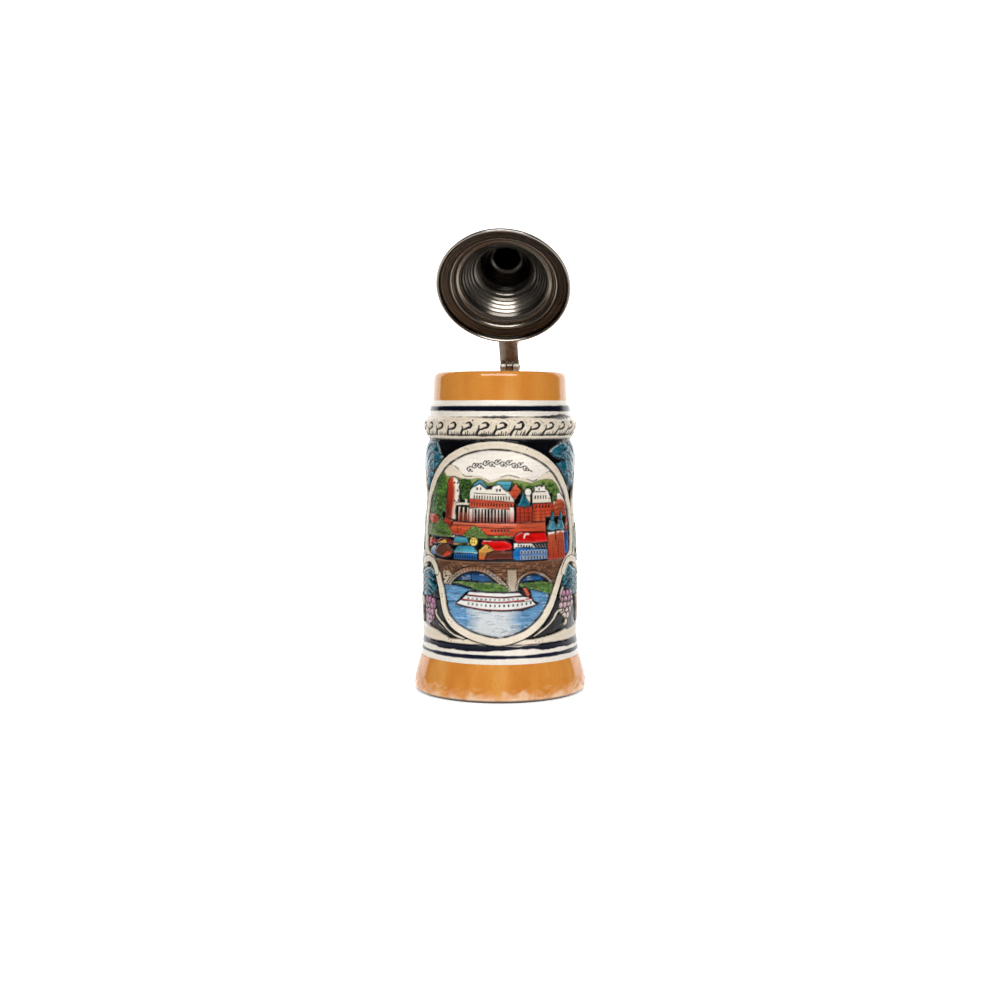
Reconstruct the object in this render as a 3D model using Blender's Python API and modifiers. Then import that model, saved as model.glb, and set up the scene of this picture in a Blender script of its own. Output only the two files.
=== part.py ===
"""Ceramic beer stein with a hinged pewter lid, standing on a table.

Metres, +Z up. The origin is the centre of the flat underside and the handle is on the +Y side.
The lid is drawn closed, level with the rim, and then turned open about the hinge axis by LID_OPEN.
"""

import math

import bmesh
import bpy
from mathutils import Matrix, Vector

MM = 0.001
GAP = 0.3 * MM  # left between neighbouring pieces

# Driving dimensions of the mug
MUG_HEIGHT = 165 * MM
FOOT_RADIUS = 44.7 * MM
FLOOR_THICKNESS = 8 * MM
MUG_STEPS = 64

# Handle: an oval bar
HANDLE_HALF_WIDTH = 10 * MM
HANDLE_HALF_DEPTH = 6.8 * MM
HANDLE_TOP_Z = 146.6 * MM  # the bar's middle under the hinge
HANDLE_POINTS = 32
TAIL_START = 0.82  # the share of the handle's length where its curled tail begins to thin
TAIL_TAPER = 0.45

# Hinge: two fixed rings, one ring on the lid's strap, and a pin
HINGE_Y = 57.4 * MM
HINGE_Z = 169.2 * MM
RING_RADIUS = 4.2 * MM
RING_CLEARANCE = 0.35 * MM
HINGE_HALF_WIDTH = 5.2 * MM
MIDDLE_RING_HALF_WIDTH = 1.6 * MM
PIN_RADIUS = 1.4 * MM
PIN_END = 0.5 * MM  # how far each end stands out of the rings
COLLAR_THICKNESS = 1.4 * MM
COLLAR_HALF_LENGTH = 4.4 * MM

# Lid, measured with the lid closed
LID_OPEN = math.radians(50.8)
LID_EDGE_Z = 163.2 * MM
LID_RADIUS = 35.7 * MM
LID_WALL = 1.1 * MM
LID_STEPS = 60
STRAP_THICKNESS = 2.6 * MM
STRAP_BOTTOM = -1.2 * MM  # above the hinge axis
STRAP_END = 28.4 * MM  # its distance from the lid's axis
THUMBLIFT_HALF_WIDTH = 4.3 * MM
THUMBLIFT_TOP = 29.6 * MM  # the roll's height above the hinge axis
ROLL_HALF_WIDTH = 6.8 * MM
ROLL_RADIUS = 3.4 * MM


def clear_scene():
    for old in list(bpy.data.objects):
        bpy.data.objects.remove(old, do_unlink=True)


def new_collection(name):
    collection = bpy.data.collections.new(name)
    bpy.context.scene.collection.children.link(collection)
    return collection


def material(name, colour, roughness, metallic=0.0):
    made = bpy.data.materials.new(name)
    made.use_nodes = True
    shader = made.node_tree.nodes["Principled BSDF"]
    shader.inputs["Base Color"].default_value = (*colour, 1)
    shader.inputs["Roughness"].default_value = roughness
    shader.inputs["Metallic"].default_value = metallic
    made.diffuse_color = (*colour, 1)
    return made


def place(name, mesh, collection, parent=None, location=(0, 0, 0)):
    made = bpy.data.objects.new(name, mesh)
    made.location = location
    made.parent = parent
    collection.objects.link(made)
    return made


def finish(made, colour_material):
    made.data.materials.clear()
    made.data.materials.append(colour_material)
    made.data.shade_smooth()
    made.data.set_sharp_from_angle(angle=math.radians(35))


def as_cutter(made):
    made.hide_render = True
    made.display_type = "WIRE"
    return made


def arc(centre, radius, start, end, count):
    """Points of an arc in degrees, in the plane of a profile."""
    points = []
    for i in range(count):
        angle = math.radians(start + (end - start) * i / (count - 1))
        points.append((centre[0] + radius * math.cos(angle), centre[1] + radius * math.sin(angle)))
    return points


def turned(name, profile, steps, collection, parent=None, location=(0, 0, 0)):
    """A turned solid: profile is (radius, height) pairs in millimetres, down its outer side."""
    mesh = bpy.data.meshes.new(name)
    points = [(radius * MM, 0, height * MM) for radius, height in profile]
    mesh.from_pydata(points, [(i, i + 1) for i in range(len(points) - 1)], [])
    made = place(name, mesh, collection, parent, location)
    screw = made.modifiers.new("turn", "SCREW")
    screw.axis = "Z"
    screw.steps = steps
    screw.render_steps = steps
    screw.use_merge_vertices = True
    screw.merge_threshold = 0.00001
    screw.use_smooth_shade = True
    return made


def cylinder(name, radius, half_length, steps, collection, parent=None, offset_x=0.0):
    """A cylinder along X, with its middle offset_x from the parent's origin."""
    mesh = bpy.data.meshes.new(name)
    shape = bmesh.new()
    bmesh.ops.create_cone(
        shape, cap_ends=True, segments=steps, radius1=radius, radius2=radius, depth=2 * half_length
    )
    bmesh.ops.rotate(shape, verts=shape.verts, matrix=Matrix.Rotation(math.pi / 2, 3, "Y"))
    bmesh.ops.translate(shape, verts=shape.verts, vec=(offset_x, 0, 0))
    shape.to_mesh(mesh)
    shape.free()
    return place(name, mesh, collection, parent)


def plate(name, outline, half_thickness, collection, parent=None, location=(0, 0, 0), on_edge=True):
    """A flat outline in millimetres, extruded both ways.

    On edge it stands in the YZ plane and its thickness is along X; otherwise it lies in the XY plane.
    """
    curve = bpy.data.curves.new(name, "CURVE")
    curve.dimensions = "2D"
    curve.fill_mode = "BOTH"
    curve.extrude = half_thickness
    spline = curve.splines.new("POLY")
    spline.points.add(len(outline) - 1)
    for point, (across, up) in zip(spline.points, outline):
        point.co = (across * MM, up * MM, 0, 1)
    spline.use_cyclic_u = True
    turn = Matrix(((0, 0, 1), (1, 0, 0), (0, 1, 0))).to_4x4() if on_edge else Matrix()
    return solid_from_curve(name, curve, turn, collection, parent, location)


def solid_from_curve(name, curve, turn, collection, parent=None, location=(0, 0, 0)):
    """The curve's mesh with its caps welded, turned by a matrix, in place of the curve."""
    guide = bpy.data.objects.new(name + "_guide", curve)
    bpy.context.scene.collection.objects.link(guide)
    bpy.context.view_layer.update()
    evaluated = guide.evaluated_get(bpy.context.evaluated_depsgraph_get())
    mesh = bpy.data.meshes.new_from_object(evaluated)
    mesh.name = name
    mesh.transform(turn)
    shape = bmesh.new()
    shape.from_mesh(mesh)
    bmesh.ops.remove_doubles(shape, verts=shape.verts, dist=0.00001)
    bmesh.ops.recalc_face_normals(shape, faces=shape.faces)
    shape.to_mesh(mesh)
    shape.free()
    bpy.data.objects.remove(guide, do_unlink=True)
    return place(name, mesh, collection, parent, location)


def boolean(made, operation, other):
    step = made.modifiers.new(operation.lower(), "BOOLEAN")
    step.operation = operation
    step.object = as_cutter(other)
    return made


# ---------------------------------------------------------------- mug


def mug_outside():
    """The outer side from the rim to the edge of the underside, in millimetres."""
    height = MUG_HEIGHT / MM
    foot = FOOT_RADIUS / MM
    lip = [(31.9, height), (33.4, height - 0.4), (34.2, height - 1.5)]
    upper_band = [(34.8, 157), (35.1, 152.5), (36.4, 147.6), (36.9, 144.4), (37.9, 142)]
    scroll_band = [(39.2, 140.4), (39.7, 138.2), (39.4, 136), (38.4, 133.4), (38.0, 131.6)]
    picture_zone = [(38.9, 128), (39.1, 120), (39.1, 100), (39.5, 88), (40.3, 72), (40.8, 60)]
    lower_zone = [(40.8, 46), (40.3, 36), (40.3, 28), (40.8, 22.5), (41.2, 18.6)]
    foot_flare = [(42.2, 15.4), (43.4, 11.6), (44.3, 8), (foot, 4.5), (foot, 1.4)]
    return lip + upper_band + scroll_band + picture_zone + lower_zone + foot_flare


def mug_body(collection):
    floor = FLOOR_THICKNESS / MM
    foot = FOOT_RADIUS / MM
    height = MUG_HEIGHT / MM
    inside = [(0, floor), (29, floor), (33.6, floor + 2.2), (35.2, 16), (35.7, 48), (34.6, 82)]
    neck = [(33.8, 118), (32.8, 130), (30.8, 142), (29.7, 152), (29.4, height - 1.6), (30.3, height - 0.4)]
    underside = [(foot - 0.5, 0.4), (foot - 1.4, 0), (0, 0)]
    return turned("mug_body", inside + neck + mug_outside() + underside, MUG_STEPS, collection)


# ---------------------------------------------------------------- handle and its collar


def handle_route():
    """The middle of the handle bar in the YZ plane: a smooth curve through chosen points."""
    shoulder = [(33, 134), (45, 143.6), (HINGE_Y / MM, HANDLE_TOP_Z / MM), (69.5, 142.4), (77.4, 129)]
    grip_and_tail = [(79.4, 109), (76.6, 88), (68.4, 68), (55.5, 53), (46.2, 42), (49.4, 31.5), (57, 27)]
    knots = shoulder + grip_and_tail
    knots = [Vector((0, y * MM, z * MM)) for y, z in knots]
    ends = [2 * knots[0] - knots[1]] + knots + [2 * knots[-1] - knots[-2]]
    route = []
    for i in range(HANDLE_POINTS):
        place_on_route = i / (HANDLE_POINTS - 1) * (len(knots) - 1)
        k = min(int(place_on_route), len(knots) - 2)
        t = place_on_route - k
        before, start, end, after = ends[k : k + 4]
        route.append(
            start
            + 0.5 * t * (end - before)
            + t * t * (before - 2.5 * start + 2 * end - 0.5 * after)
            + 0.5 * t * t * t * (3 * start - 3 * end + after - before)
        )
    return route


def bar(name, route, swell, collection, taper=0.0):
    """An oval bar along a route, larger than the handle's section by swell; its tail thins by taper."""
    depth = HANDLE_HALF_DEPTH + swell
    curve = bpy.data.curves.new(name, "CURVE")
    curve.dimensions = "3D"
    curve.bevel_depth = depth
    curve.bevel_resolution = 6
    curve.use_fill_caps = True
    spline = curve.splines.new("POLY")
    spline.points.add(len(route) - 1)
    for i, (point, where) in enumerate(zip(spline.points, route)):
        point.co = (*where, 1)
        point.radius = 1 - taper * max(0, i / (len(route) - 1) - TAIL_START) / (1 - TAIL_START)
    widen = Matrix.Diagonal(((HANDLE_HALF_WIDTH + swell) / depth, 1, 1, 1))
    return solid_from_curve(name, curve, widen, collection)


def handle(collection, cutters):
    made = bar("handle", handle_route(), 0, collection, TAIL_TAPER)
    mug = [(radius + GAP / MM, height) for radius, height in mug_outside()]
    seat = turned("mug_seat", [(0, mug[0][1])] + mug + [(0, mug[-1][1])], MUG_STEPS, cutters)
    return boolean(made, "DIFFERENCE", seat)


def handle_collar(collection, cutters):
    """The oval pewter band cast round the top of the handle, under the hinge."""
    top = Vector((0, HINGE_Y, HANDLE_TOP_Z))
    side = Vector((0, COLLAR_HALF_LENGTH, 0))
    made = bar("handle_collar", [top - side, top, top + side], GAP + COLLAR_THICKNESS, collection)
    hole = bar("collar_hole", handle_route(), GAP, cutters)
    return boolean(made, "DIFFERENCE", hole)


# ---------------------------------------------------------------- fixed side of the hinge


def pin_hole(name, cutters, parent):
    return cylinder(name, PIN_RADIUS + GAP, 2 * HINGE_HALF_WIDTH, 20, cutters, parent)


def hinge_bracket(hinge, collection, cutters):
    """The post on the collar, with the two outer rings of the hinge."""
    foot = (HANDLE_TOP_Z + HANDLE_HALF_DEPTH + COLLAR_THICKNESS + 2 * GAP - HINGE_Z) / MM
    front = [(-4.2, foot), (-3.4, foot + 1.6), (-2.5, foot + 5), (-3.6, -1.4)]
    back = [(-y, z) for y, z in reversed(front)]
    made = plate("hinge_bracket", front + back, HINGE_HALF_WIDTH, collection, hinge)
    rings = cylinder("fixed_rings", RING_RADIUS, HINGE_HALF_WIDTH, 28, cutters, hinge)
    slot_half_width = MIDDLE_RING_HALF_WIDTH + GAP
    slot = cylinder("ring_slot", RING_RADIUS + RING_CLEARANCE, slot_half_width, 28, cutters, hinge)
    boolean(made, "UNION", rings)
    boolean(made, "DIFFERENCE", slot)
    return boolean(made, "DIFFERENCE", pin_hole("bracket_pin_hole", cutters, hinge))


def hinge_pin(hinge, collection):
    half_length = HINGE_HALF_WIDTH + PIN_END
    made = cylinder("hinge_pin", PIN_RADIUS, half_length, 20, collection, hinge)
    edge = made.modifiers.new("rounded_ends", "BEVEL")
    edge.width = 0.35 * MM
    edge.segments = 2
    edge.angle_limit = math.radians(60)
    edge.limit_method = "ANGLE"
    return made


# ---------------------------------------------------------------- lid


def thickened(inside, wall):
    """The inner side of a shell, offset outwards by the wall: the mean of the two normals at a point."""
    outside = []
    for i, point in enumerate(inside):
        before = Vector(inside[max(i - 1, 0)])
        after = Vector(inside[min(i + 1, len(inside) - 1)])
        here = Vector(point)
        normals = [Vector((b.y - a.y, a.x - b.x)) for a, b in ((before, here), (here, after)) if a != b]
        mean = sum((normal.normalized() for normal in normals), Vector((0, 0))).normalized()
        outside.append(here + mean * wall / max(0.6, mean.dot(normals[0].normalized())))
    return [(max(point.x, 0), point.y) for point in outside]


def lid_shell(lid, collection):
    """The spun pewter lid: a level flange, two bell steps and a hollow neck under the finial."""
    radius = LID_RADIUS / MM
    wall = LID_WALL / MM
    flange = [(radius - wall, 0.4), (radius - wall, 1.7), (27.7, 3.4)]
    bell = [(27.0, 4.5), (25.2, 5.2), (22.8, 6.7), (21.2, 8.6), (19.6, 10.4), (16.2, 15.4)]
    neck = [(15.0, 16.6), (12.4, 19.2), (10.4, 24.2), (8.7, 27.6), (6.6, 29.2), (4.6, 33.6), (2.8, 36)]
    inside = flange + bell + neck + [(0, 36.6)]
    outside = thickened(inside, wall)
    outside[-1] = (0, inside[-1][1] + wall)
    outside[0] = (radius, 0.4)
    edge = [(radius - 0.3, 0), (radius - wall + 0.3, 0)]
    where = (0, -HINGE_Y, LID_EDGE_Z - HINGE_Z)
    return turned("lid_shell", outside[::-1] + edge + inside, LID_STEPS, collection, lid, where)


def finial(lid, collection):
    """The turned knob on the point of the lid."""
    stem = [(0, 15.4), (1.2, 15.1), (1.9, 14), (1.5, 12.9)]
    ball = arc((0, 8.6), 4.4, 68, -52, 9)
    foot = [(2.3, 4.3), (2.2, 3.2), (3.4, 2.2), (5.4, 0.7), (5.5, 0), (0, 0)]
    where = (0, -HINGE_Y, LID_EDGE_Z - HINGE_Z + 38 * MM)
    return turned("finial", stem + ball + foot, 32, collection, lid, where)


def lid_strap(lid, collection, cutters):
    """The flat tongue from the lid's flange to the middle ring of the hinge."""
    half_width = HINGE_HALF_WIDTH / MM
    reach = (HINGE_Y - STRAP_END) / MM
    tongue = arc((0, half_width - reach), half_width, 180, 360, 11)
    outline = tongue + [(half_width, 0), (-half_width, 0)]
    middle = STRAP_BOTTOM + STRAP_THICKNESS / 2
    made = plate("lid_strap", outline, STRAP_THICKNESS / 2, collection, lid, (0, 0, 0), False)
    made.data.transform(Matrix.Translation((0, 0, middle)))
    ring = cylinder("middle_ring", RING_RADIUS, MIDDLE_RING_HALF_WIDTH, 28, cutters, lid)
    boolean(made, "UNION", ring)
    for side in (-1, 1):
        room = cylinder(
            "ring_room_left" if side < 0 else "ring_room_right",
            RING_RADIUS + RING_CLEARANCE,
            HINGE_HALF_WIDTH / 2,
            28,
            cutters,
            lid,
            side * (MIDDLE_RING_HALF_WIDTH + HINGE_HALF_WIDTH / 2),
        )
        boolean(made, "DIFFERENCE", room)
    return boolean(made, "DIFFERENCE", pin_hole("strap_pin_hole", cutters, lid))


def thumblift(lid, collection, cutters):
    """The cast lever that the thumb presses: a curved stem with a roll along its top."""
    foot = (STRAP_BOTTOM + STRAP_THICKNESS + GAP) / MM
    top = THUMBLIFT_TOP / MM
    front = [(-11, foot), (-9.6, foot + 1.4), (-6.6, foot + 3.6), (-4.6, foot + 8), (-4, foot + 15)]
    crown = [(-2.8, top - 3), (-1, top + 2), (1.2, top + 1)]
    back = [(1, top - 4), (-0.4, foot + 15), (-1.4, foot + 9), (-2.6, foot + 5)]
    back += [(-4.4, foot + 2.6), (-5, foot)]
    made = plate("thumblift", front + crown + back, THUMBLIFT_HALF_WIDTH, collection, lid)
    roll = cylinder("thumb_roll", ROLL_RADIUS, ROLL_HALF_WIDTH, 24, cutters, lid)
    roll.data.transform(Matrix.Translation((0, -0.8 * MM, THUMBLIFT_TOP)))
    return boolean(made, "UNION", roll)


def hinge_empty(name, collection, turn=0.0):
    empty = place(name, None, collection, None, (0, HINGE_Y, HINGE_Z))
    empty.rotation_euler.x = -turn
    return empty


def main():
    clear_scene()
    parts = new_collection("beer_stein")
    cutters = new_collection("cutters")
    ceramic = material("glazed_ceramic", (0.71, 0.60, 0.42), 0.18)
    glaze = material("handle_glaze", (0.78, 0.45, 0.17), 0.2)
    pewter = material("pewter", (0.33, 0.30, 0.27), 0.36, 1.0)
    cast_pewter = material("cast_pewter", (0.42, 0.40, 0.37), 0.42, 1.0)
    steel = material("steel_pin", (0.55, 0.54, 0.52), 0.3, 1.0)

    fixed = hinge_empty("hinge_fixed", parts)
    lid = hinge_empty("lid_pivot", parts, LID_OPEN)
    finish(mug_body(parts), ceramic)
    finish(handle(parts, cutters), glaze)
    finish(handle_collar(parts, cutters), cast_pewter)
    finish(hinge_bracket(fixed, parts, cutters), cast_pewter)
    finish(hinge_pin(fixed, parts), steel)
    finish(lid_strap(lid, parts, cutters), cast_pewter)
    finish(thumblift(lid, parts, cutters), cast_pewter)
    finish(lid_shell(lid, parts), pewter)
    finish(finial(lid, parts), cast_pewter)
    bpy.context.view_layer.update()


main()
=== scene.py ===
"""Looks of a relief-moulded, hand-painted beer stein with a hinged pewter lid.

The mug's wall is one picture bent round it: a height and a colour for every point of a fine grid, built up
from layered shapes. u runs round the wall to the right in millimetres, measured at ROUND from the middle of
the front picture, and z is the height above the table in millimetres.
"""

import math

import bmesh
import bpy
import numpy as np
from mathutils import Matrix, Vector


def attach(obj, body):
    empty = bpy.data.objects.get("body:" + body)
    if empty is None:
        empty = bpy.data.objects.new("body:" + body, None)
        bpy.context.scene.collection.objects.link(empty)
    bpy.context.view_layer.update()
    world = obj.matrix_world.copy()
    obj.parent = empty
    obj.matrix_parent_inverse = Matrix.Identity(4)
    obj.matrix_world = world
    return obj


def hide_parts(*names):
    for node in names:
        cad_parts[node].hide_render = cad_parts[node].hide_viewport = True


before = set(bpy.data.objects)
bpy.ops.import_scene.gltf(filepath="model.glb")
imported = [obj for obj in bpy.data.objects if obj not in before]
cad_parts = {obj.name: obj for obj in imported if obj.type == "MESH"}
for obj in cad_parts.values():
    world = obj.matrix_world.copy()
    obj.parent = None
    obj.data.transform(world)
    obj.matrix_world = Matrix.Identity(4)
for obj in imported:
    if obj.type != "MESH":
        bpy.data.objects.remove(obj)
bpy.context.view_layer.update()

MM = 0.001
ROUND = 40.0  # the radius, in mm, at which u measures the wall
HALF_WAY = math.pi * ROUND
CAMERA_TURN = math.radians(5.6)  # the view, and with it the front picture's u = 0, lies this far from -Y
WALL_LOW, WALL_HIGH = 19.0, 150.4  # the ends of the decorated wall, in mm
GRID_STEP = 0.33  # between the points of the wall's grid, in mm
SOFT = 0.34  # how far a shape's edge fades, in mm
FULL_TURN = 2 * math.pi


# ---------------------------------------------------------------- colours


def rgb(red, green, blue):
    """A screen colour, 0 to 255, as linear light."""
    screen = np.array([red, green, blue]) / 255
    return np.where(screen <= 0.04045, screen / 12.92, ((screen + 0.055) / 1.055) ** 2.4)


CREAM = rgb(228, 213, 192)
PALE = rgb(244, 236, 224)
BLACK = rgb(5, 6, 10)
NAVY = rgb(18, 24, 52)
SEPIA = rgb(92, 74, 60)
TERRACOTTA = rgb(186, 60, 34)
PALE_BRICK = rgb(208, 98, 64)
DARK_BRICK = rgb(106, 30, 22)
GRASS = rgb(90, 134, 54)
DARK_GRASS = rgb(44, 82, 32)
PALE_GRASS = rgb(156, 176, 100)
OLIVE = rgb(122, 138, 78)
TEAL = rgb(10, 92, 112)
PALE_TEAL = rgb(84, 162, 182)
DEEP_TEAL = rgb(4, 42, 60)
SCARLET = rgb(194, 8, 8)
YELLOW = rgb(230, 196, 92)
ORANGE = rgb(216, 144, 56)
BROWN = rgb(96, 60, 44)
STONE = rgb(200, 178, 148)
BRIDGE = rgb(118, 80, 56)
BLUE = rgb(26, 106, 174)
DARK_BLUE = rgb(12, 50, 100)
WATER = rgb(92, 142, 182)
PALE_WATER = rgb(214, 216, 214)
WHITE = rgb(238, 236, 230)
MAUVE = rgb(168, 104, 142)
PALE_MAUVE = rgb(214, 172, 186)
AMBER = rgb(212, 138, 58)
DARK_AMBER = rgb(200, 122, 46)
PALE_AMBER = rgb(222, 156, 80)
PEACH = rgb(240, 204, 168)


# ---------------------------------------------------------------- flat shapes
# A shape is its box (u low, u high, z low, z high) and its signed distance, which is negative inside.


def smooth_curve(points, closed=False, share=6):
    """A curve through the points, with share short steps between each two."""
    points = [np.array(p, float) for p in points]
    ends = [points[-1]] + points + points[:2] if closed else [points[0]] + points + [points[-1]]
    curve = []
    for before, start, end, after in zip(ends, ends[1:], ends[2:], ends[3:]):
        for t in np.arange(share) / share:
            bend = before * (-t + 2 * t**2 - t**3) + start * (2 - 5 * t**2 + 3 * t**3)
            curve.append((bend + end * (t + 4 * t**2 - 3 * t**3) + after * (t**3 - t**2)) / 2)
    return curve if closed else curve + [points[-1]]


def box_of(points, margin=0.0):
    """The box round the points, as u low, u high, z low and z high."""
    u, z = zip(*points)
    return min(u) - margin, max(u) + margin, min(z) - margin, max(z) + margin


def polygon(points, smooth=False):
    """The shape inside an outline, which may be a curve through its points."""
    points = smooth_curve(points, closed=True) if smooth else [np.array(p, float) for p in points]

    def distance(u, z):
        nearest = np.full(u.shape, 1e9)
        inside = np.zeros(u.shape, bool)
        for (au, az), (bu, bz) in zip(points, points[1:] + points[:1]):
            eu, ez = bu - au, bz - az
            along = np.clip(((u - au) * eu + (z - az) * ez) / max(eu * eu + ez * ez, 1e-12), 0, 1)
            nearest = np.minimum(nearest, (u - au - along * eu) ** 2 + (z - az - along * ez) ** 2)
            if az != bz:
                inside ^= ((az > z) != (bz > z)) & (u < eu * (z - az) / (bz - az) + au)
        return np.where(inside, -np.sqrt(nearest), np.sqrt(nearest))

    return box_of(points), distance


def stroke(points, width, end_width=None, smooth=True, closed=False):
    """A brush stroke along the points, whose width may change evenly to end_width."""
    points = smooth_curve(points, closed) if smooth else [np.array(p, float) for p in points]
    if closed:
        points = points + points[:1]
    widths = np.linspace(width, width if end_width is None else end_width, len(points)) / 2

    def distance(u, z):
        nearest = np.full(u.shape, 1e9)
        for (au, az), (bu, bz), start, end in zip(points, points[1:], widths, widths[1:]):
            eu, ez = bu - au, bz - az
            along = np.clip(((u - au) * eu + (z - az) * ez) / max(eu * eu + ez * ez, 1e-12), 0, 1)
            gap = np.hypot(u - au - along * eu, z - az - along * ez)
            nearest = np.minimum(nearest, gap - start - (end - start) * along)
        return nearest

    return box_of(points, max(widths)), distance


def oval(u0, z0, half_width, half_height=None):
    """An ellipse, or a circle when it has one radius only."""
    half_height = half_width if half_height is None else half_height
    least = min(half_width, half_height)

    def distance(u, z):
        return (np.hypot((u - u0) / half_width, (z - z0) / half_height) - 1) * least

    return (u0 - half_width, u0 + half_width, z0 - half_height, z0 + half_height), distance


def block(u0, u1, z0, z1):
    """An upright rectangle."""
    return polygon([(u0, z0), (u1, z0), (u1, z1), (u0, z1)])


def mirrored(points, side):
    """The points as they are for side 1, and mirrored across u = 0 for side -1."""
    return [(side * u, z) for u, z in points]


def turned_points(points, centre, size, angle):
    """Points of a unit shape at their place: scaled, turned and moved."""
    c, s = math.cos(math.radians(angle)) * size, math.sin(math.radians(angle)) * size
    return [(centre[0] + c * u - s * z, centre[1] + s * u + c * z) for u, z in points]


# ---------------------------------------------------------------- the relief


def blurred(field, width):
    """A field of the wall, blurred by a Gauss curve of that width in grid steps."""
    rows, columns = field.shape
    row_wave = np.fft.fftfreq(rows)[:, None]
    column_wave = np.fft.rfftfreq(columns)[None, :]
    tall, wide = width if isinstance(width, tuple) else (width, width)
    keep = np.exp(-2 * math.pi**2 * ((row_wave * tall) ** 2 + (column_wave * wide) ** 2))
    return np.fft.irfft2(np.fft.rfft2(field) * keep, s=field.shape)


class Relief:
    """The wall's height (mm, 0 at the outer surface of the CAD wall), paint and black wash."""

    def __init__(self, low, high, step):
        columns = round(2 * HALF_WAY / step)
        rows = round((high - low) / step)
        self.step = step
        self.u = np.linspace(-HALF_WAY, HALF_WAY, columns + 1)[:-1]
        self.z = np.linspace(low, high, rows + 1)
        self.U, self.Z = np.meshgrid(self.u, self.z)
        self.height = np.zeros(self.U.shape)
        self.paint = np.zeros(self.U.shape + (3,))
        self.wash = np.zeros(self.U.shape)
        self.clip = None
        draw = np.random.default_rng(7)
        self.fine = self.noise(draw, 0.35 / step)
        self.mottle = self.noise(draw, 1.1 / step)
        self.cloud = self.noise(draw, 5 / step)
        self.brush_up = self.noise(draw, (2.2 / step, 0.3 / step))
        self.brush_along = self.noise(draw, (0.3 / step, 2.2 / step))

    def noise(self, draw, width):
        """Even noise over the whole wall, in marks about width grid steps across."""
        field = blurred(draw.standard_normal(self.U.shape), width)
        return field / field.std()

    def inside(self, shape):
        """How far a shape covers each point of the whole wall."""
        return np.clip(0.5 - shape[1](self.U, self.Z) / SOFT, 0, 1)

    def near(self, shape, margin=1.2, soft=SOFT):
        """The window of the wall round a shape, each point's distance to it, and how far it is covered."""
        (u0, u1, z0, z1), distance = shape
        columns = np.searchsorted(self.u, [u0 - margin, u1 + margin])
        rows = np.searchsorted(self.z, [z0 - margin, z1 + margin])
        here = np.s_[rows[0] : rows[1], columns[0] : columns[1]]
        away = distance(self.U[here], self.Z[here])
        cover = np.clip(0.5 - away / soft, 0, 1)
        if self.clip is not None:
            cover = cover * self.clip[here]
        return here, away, cover

    def tint(self, here, cover, colour, grain):
        """Lays a colour, or a (top, bottom) pair blended down the shape, brushed along the grain."""
        if isinstance(colour, tuple):
            z = self.Z[here]
            share = (z - z.min()) / max(z.max() - z.min(), 1e-9)
            share = np.clip(share * 1.3 - 0.15, 0, 1)[..., None]
            colour = colour[0] * share + colour[1] * (1 - share)
        marks = self.brush_up if grain == "up" else self.brush_along
        streaks = 0.03 if np.mean(colour) > 0.35 else 0.15
        shade = np.clip(1 + streaks * marks[here] + 0.05 * self.cloud[here], 0.4, 1.6)[..., None]
        self.paint[here] += (colour * shade - self.paint[here]) * cover[..., None]

    def lay(self, shape, colour, level, rise=0.35, edge=0.8, outline=0.85, rough=0.03, grain="along"):
        """A moulded form: rounded from level at its edge to level + rise, with washed ink round it."""
        here, away, cover = self.near(shape)
        inward = np.clip(-away / edge, 0, 1)
        top = level + rise * np.sqrt(1 - (1 - inward) ** 2) + rough * self.mottle[here]
        self.height[here] += (top - self.height[here]) * cover
        self.tint(here, cover, colour, grain)
        ink = outline * np.exp(-(((away - 0.05) / SOFT) ** 2))
        if self.clip is not None:
            ink = ink * self.clip[here]
        self.wash[here] = np.maximum(self.wash[here] * (1 - cover), ink)

    def carve(self, shape, depth=0.2, colour=None, strength=1.0):
        """A groove or dent, in the colour that has run into it."""
        here, _, cover = self.near(shape, 0.6)
        self.height[here] -= depth * cover
        if colour is not None:
            self.paint[here] += (colour - self.paint[here]) * (cover * strength)[..., None]

    def swell(self, shape, rise, edge=0.6, colour=None, strength=1.0, grain="along", soft=SOFT):
        """A swelling of what is there, perhaps in another colour."""
        here, away, cover = self.near(shape, 1.2, soft)
        inward = np.clip(-away / edge, 0, 1)
        self.height[here] += rise * np.sqrt(1 - (1 - inward) ** 2) * cover
        if colour is not None:
            self.tint(here, cover * strength, colour, grain)

    def stripe(self, low, high, colour, ragged=0.15, depth=0.0, strength=1.0):
        """A painted line right round the mug."""
        wander = ragged * (self.cloud + 0.5 * self.mottle)
        away = np.abs(self.Z - (low + high) / 2) - (high - low) / 2 + wander
        cover = np.clip(0.5 - away / SOFT, 0, 1) * strength
        self.height -= depth * cover
        self.paint += (colour - self.paint) * cover[..., None]
        self.wash *= 1 - cover

    def fired(self):
        """What the kiln leaves: softened edges, and black wash wherever the relief is hollow; crests get a
        painted highlight.
        """
        self.height = blurred(self.height, 0.10 / self.step)
        hollow = blurred(self.height, 0.75 / self.step) - self.height
        deep = blurred(self.height, 0.3 / self.step) - self.height
        stain = np.clip(hollow * 4.6 - 0.12, 0, 0.85) + np.clip(deep * 5, 0, 0.6)
        ragged = np.clip(1 + 0.35 * self.mottle, 0.3, 1.4)
        wash = np.clip((self.wash * 0.9 + stain) * ragged, 0, 0.97)[..., None]
        # Painted highlight: the paint is lightened on the crests of the relief.
        crest = np.clip(-hollow * 1.2, 0, 0.22)[..., None]
        paint = self.paint * (1 - crest) + np.minimum(self.paint * 1.5 + 0.05, 1) * crest
        self.colour = paint * (1 - wash) + BLACK * wash


# ---------------------------------------------------------------- motifs

GROUND = -1.5  # the level of the black ground between the pictures
SKY = -1.15  # the level of the sky in the pictures

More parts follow.
